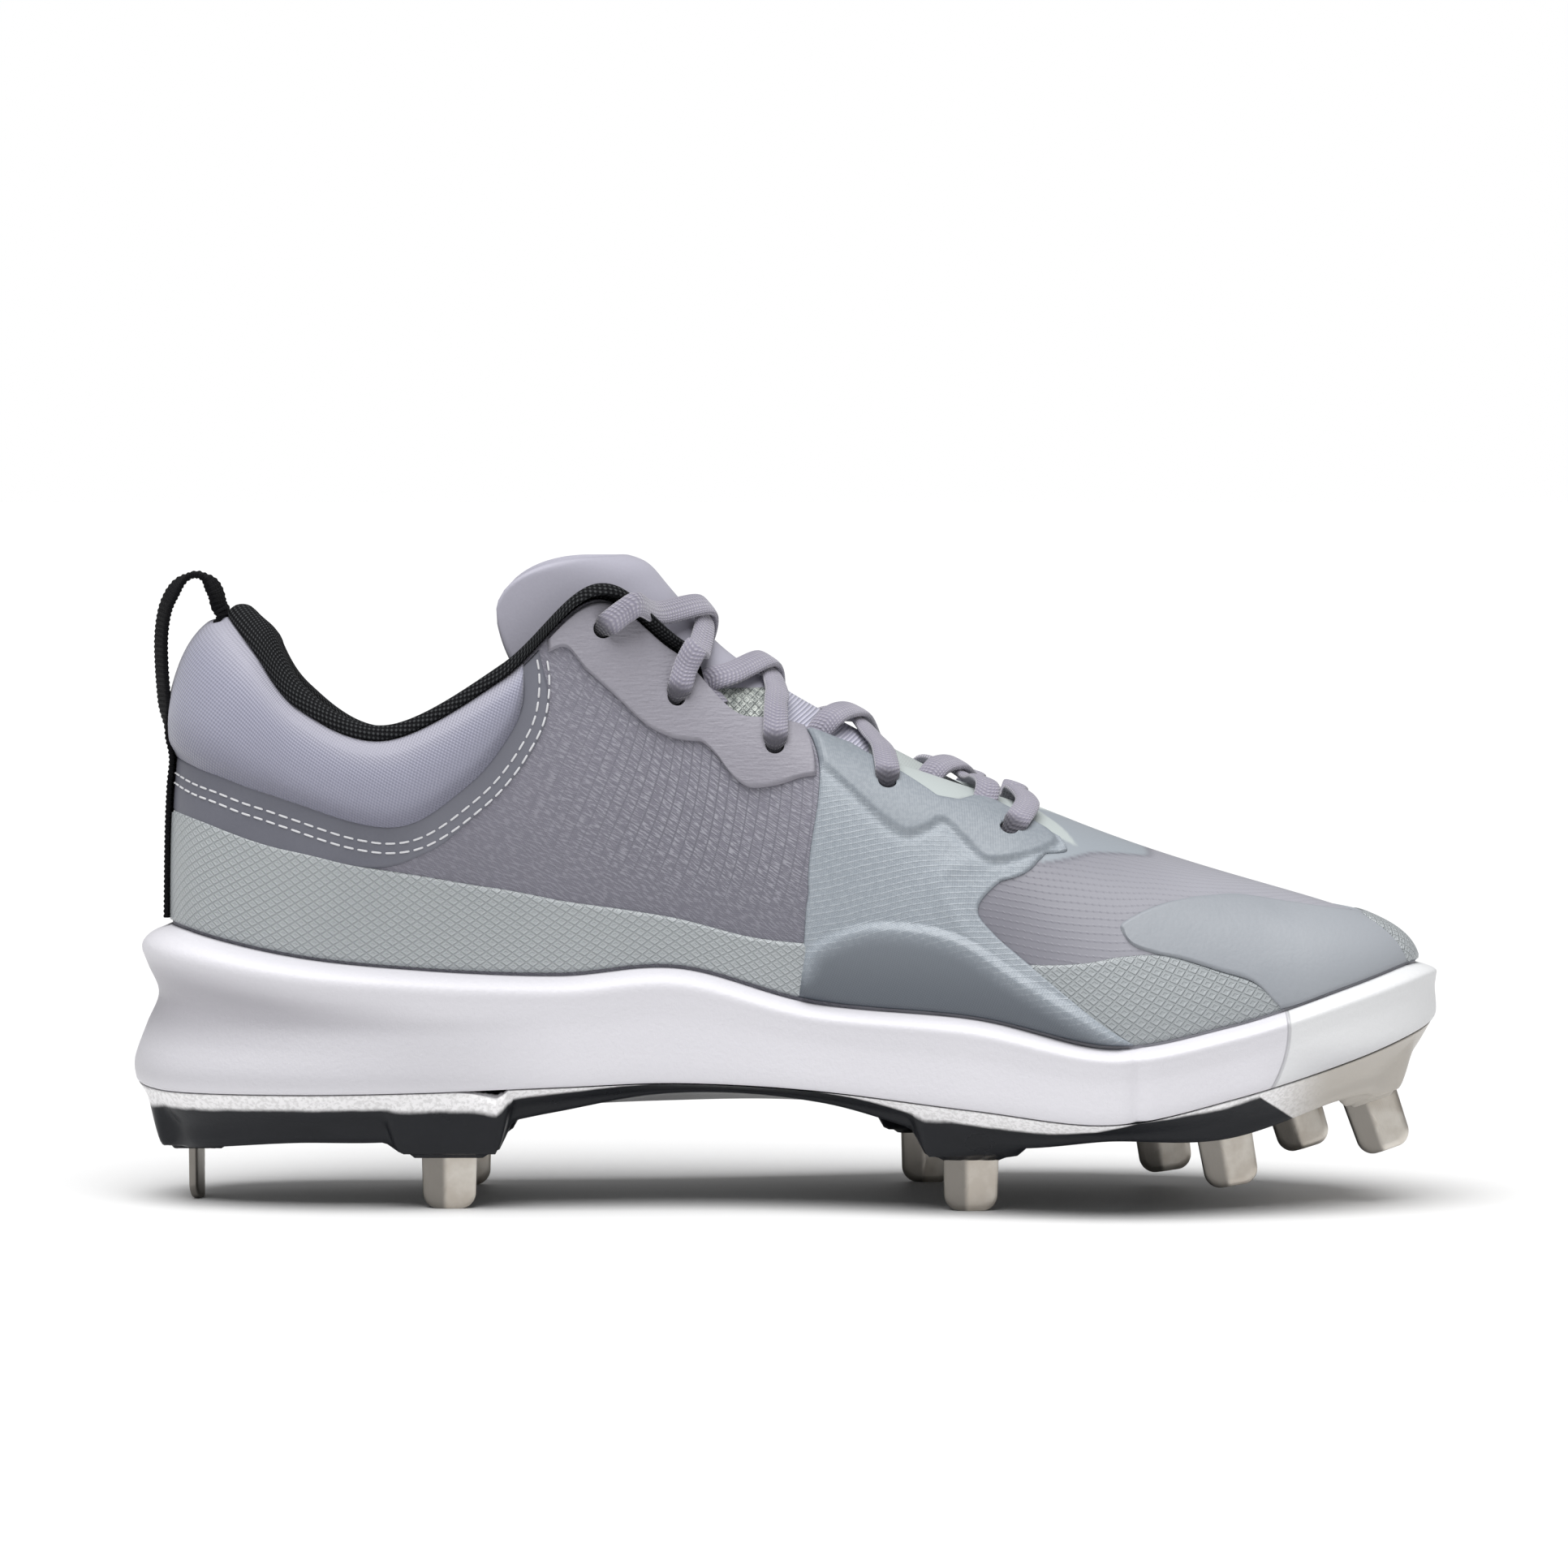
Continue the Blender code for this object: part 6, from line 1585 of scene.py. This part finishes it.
def lace_route(start, start_edge, end_edge, end, crest):
    """Stops of a strand: an end, the throat's edge, over the tongue, the other edge and end. The strand's side
    at each stop is square to its heading and to the surface, and it keeps its side where it plunges. Between the
    edge and its crest a strand is pulled straight, so it stands off the tongue where that lies deeper."""
    first, last = lace_end(start, start_edge), lace_end(end, end_edge)[::-1]
    (row_a, across_a), (row_b, across_b) = (nearest_on_tongue(on_upper(edge, 1.0)[0])
                                            for edge in (start_edge, end_edge))
    over = []
    for share in (0.24, 0.5, 0.76):
        back = smooth(0, 1, share)
        point, normal = tongue_frame(row_a + (row_b - row_a) * back, across_a + (across_b - across_a) * share)
        hump = crest * (1.0 if share == 0.5 else 0.35)
        over.append([point + normal * (LACE_OVER_TONGUE + hump), normal])
    for stop, edge, end_place in ((over[0], start_edge, start), (over[2], end_edge, end)):
        if end_place:
            edge_point = on_upper(edge, 1.0, LACE_OVER_UPPER + cord_lift(edge))[0]
            chord = edge_point + (over[1][0] - edge_point) * 0.48
            pull = 0.5 + 0.5 * cord_lift(edge) / CORD
            stop[0] = stop[0] + stop[1] * (pull * max(float((chord - stop[0]) @ stop[1]), 0.0))
    stops = first + over + last
    places, normals = np.array([stop[0] for stop in stops]), np.array([stop[1] for stop in stops])
    heading = np.gradient(places, axis=0)
    if start and start[2]:
        heading[:2] = places[2] - places[1]
    if end and end[2]:
        heading[-2:] = places[-2] - places[-3]
    return places, unit(np.cross(heading, normals))


def add_strand(name, route, crest=0.0, nodes=()):
    """One strand and its length. It narrows where it plunges into an eyelet, and is painted dark there as shade from
    the hole.
    """
    places, sides = lace_route(*route, crest)
    share = np.linspace(0, len(places) - 1, LACE_PATH_POINTS)
    path, side = open_spline(places, share), open_spline(sides, share)
    tangent = unit(np.gradient(path, axis=0))
    side = unit(side - tangent * np.sum(side * tangent, axis=1, keepdims=True))
    up = np.cross(side, tangent)
    length = walked(path)
    far = 1.0  # metres, for an end that isn't in an eyelet
    to_end = np.minimum(length + (0 if route[0] and route[0][2] else far),
                        length[-1] - length + (0 if route[3] and route[3][2] else far))
    narrow = 0.60 + 0.40 * smooth(2.5 * MM, 6.5 * MM, to_end)
    points, uv = swept_strap(path, side, up, LACE_WIDTH * narrow, LACE_THICK, (0.8, 0.6), LACE_SIDES, 15 * MM)
    # where the strand goes into an eyelet, painted dark as shade from the hole
    tip = np.pad(1 - smooth(5.4 * MM, 8.2 * MM, to_end), 1, mode="edge")
    add_grid(name, points, uv, lace_weave, "lace_weave", nodes,
             marks={"tip": np.repeat(tip[:, None], LACE_SIDES + 1, axis=1)})
    return length[-1]


def mirrored_route(route):
    """The same route from the other side of the shoe."""
    start, start_edge, end_edge, end = route
    ends = [(STATIONS - place[0], *place[1:]) if place else None for place in (start, end)]
    return ends[0], STATIONS - start_edge, STATIONS - end_edge, ends[1]


lengths = {}
for name, route in LACES.items():
    lengths[name + "_near"] = add_strand(name + "_near", route, 0.0, [name])
    if name != "lace_bar":
        lengths[name + "_far"] = add_strand(name + "_far", mirrored_route(route), 1.05 * LACE_THICK)
print("laces:", {name: round(float(length) / MM) for name, length in lengths.items()}, "mm")

# %% [markdown]
# ## Floor and light
#
# Product shots stand on a white floor under one very broad light, which leaves a soft shadow by the studs. The
# backdrop is white only where the camera sees it, and lights the shoe with less, so that its own shading
# stays.

# %% Floor and lights
FLOOR_HALF = 6.0
FLOOR_WHITE = (0.8, 0.8, 0.8)
CEILING = {"towards": (0.06, 0.32, -0.95), "strength": 3.9, "softness": 55}
BACKDROP = {"seen": 1.0, "fill": 0.30}


def add_floor():
    """One white square under the studs."""
    made = Finish("floor_white", Roughness=0.6)
    mesh = bpy.data.meshes.new("floor")
    x = FLOOR_HALF
    mesh.from_pydata([(-x, -x, 0), (x, -x, 0), (x, x, 0), (-x, x, 0)], [], [(0, 1, 2, 3)])
    mesh.materials.append(made.wire(Base_Color=FLOOR_WHITE))
    add_object("floor", mesh)


def add_sun(towards, strength, softness):
    """A far light as broad as a studio's ceiling, which leaves soft shadows."""
    data = bpy.data.lights.new("ceiling", "SUN")
    data.energy, data.angle = strength, math.radians(softness)
    light = add_object("ceiling", data)
    light.rotation_euler = Vector(towards).to_track_quat("-Z", "Y").to_euler()


def add_backdrop(seen, fill):
    """White where it is seen, and a weaker fill on the shoe, so that the shoe's own shading stays."""
    world = bpy.data.worlds.new("studio")
    world.use_nodes = True
    nodes, links = world.node_tree.nodes, world.node_tree.links
    path, strength = nodes.new("ShaderNodeLightPath"), nodes.new("ShaderNodeMapRange")
    strength.inputs["To Min"].default_value, strength.inputs["To Max"].default_value = fill, seen
    links.new(path.outputs["Is Camera Ray"], strength.inputs["Value"])
    links.new(strength.outputs["Result"], nodes["Background"].inputs["Strength"])
    nodes["Background"].inputs["Color"].default_value = (1, 1, 1, 1)
    bpy.context.scene.world = world


add_floor()
add_sun(**CEILING)
add_backdrop(**BACKDROP)
bpy.context.scene.view_settings.view_transform = "Standard"
print("floor", 2 * FLOOR_HALF, "m wide; one soft light")
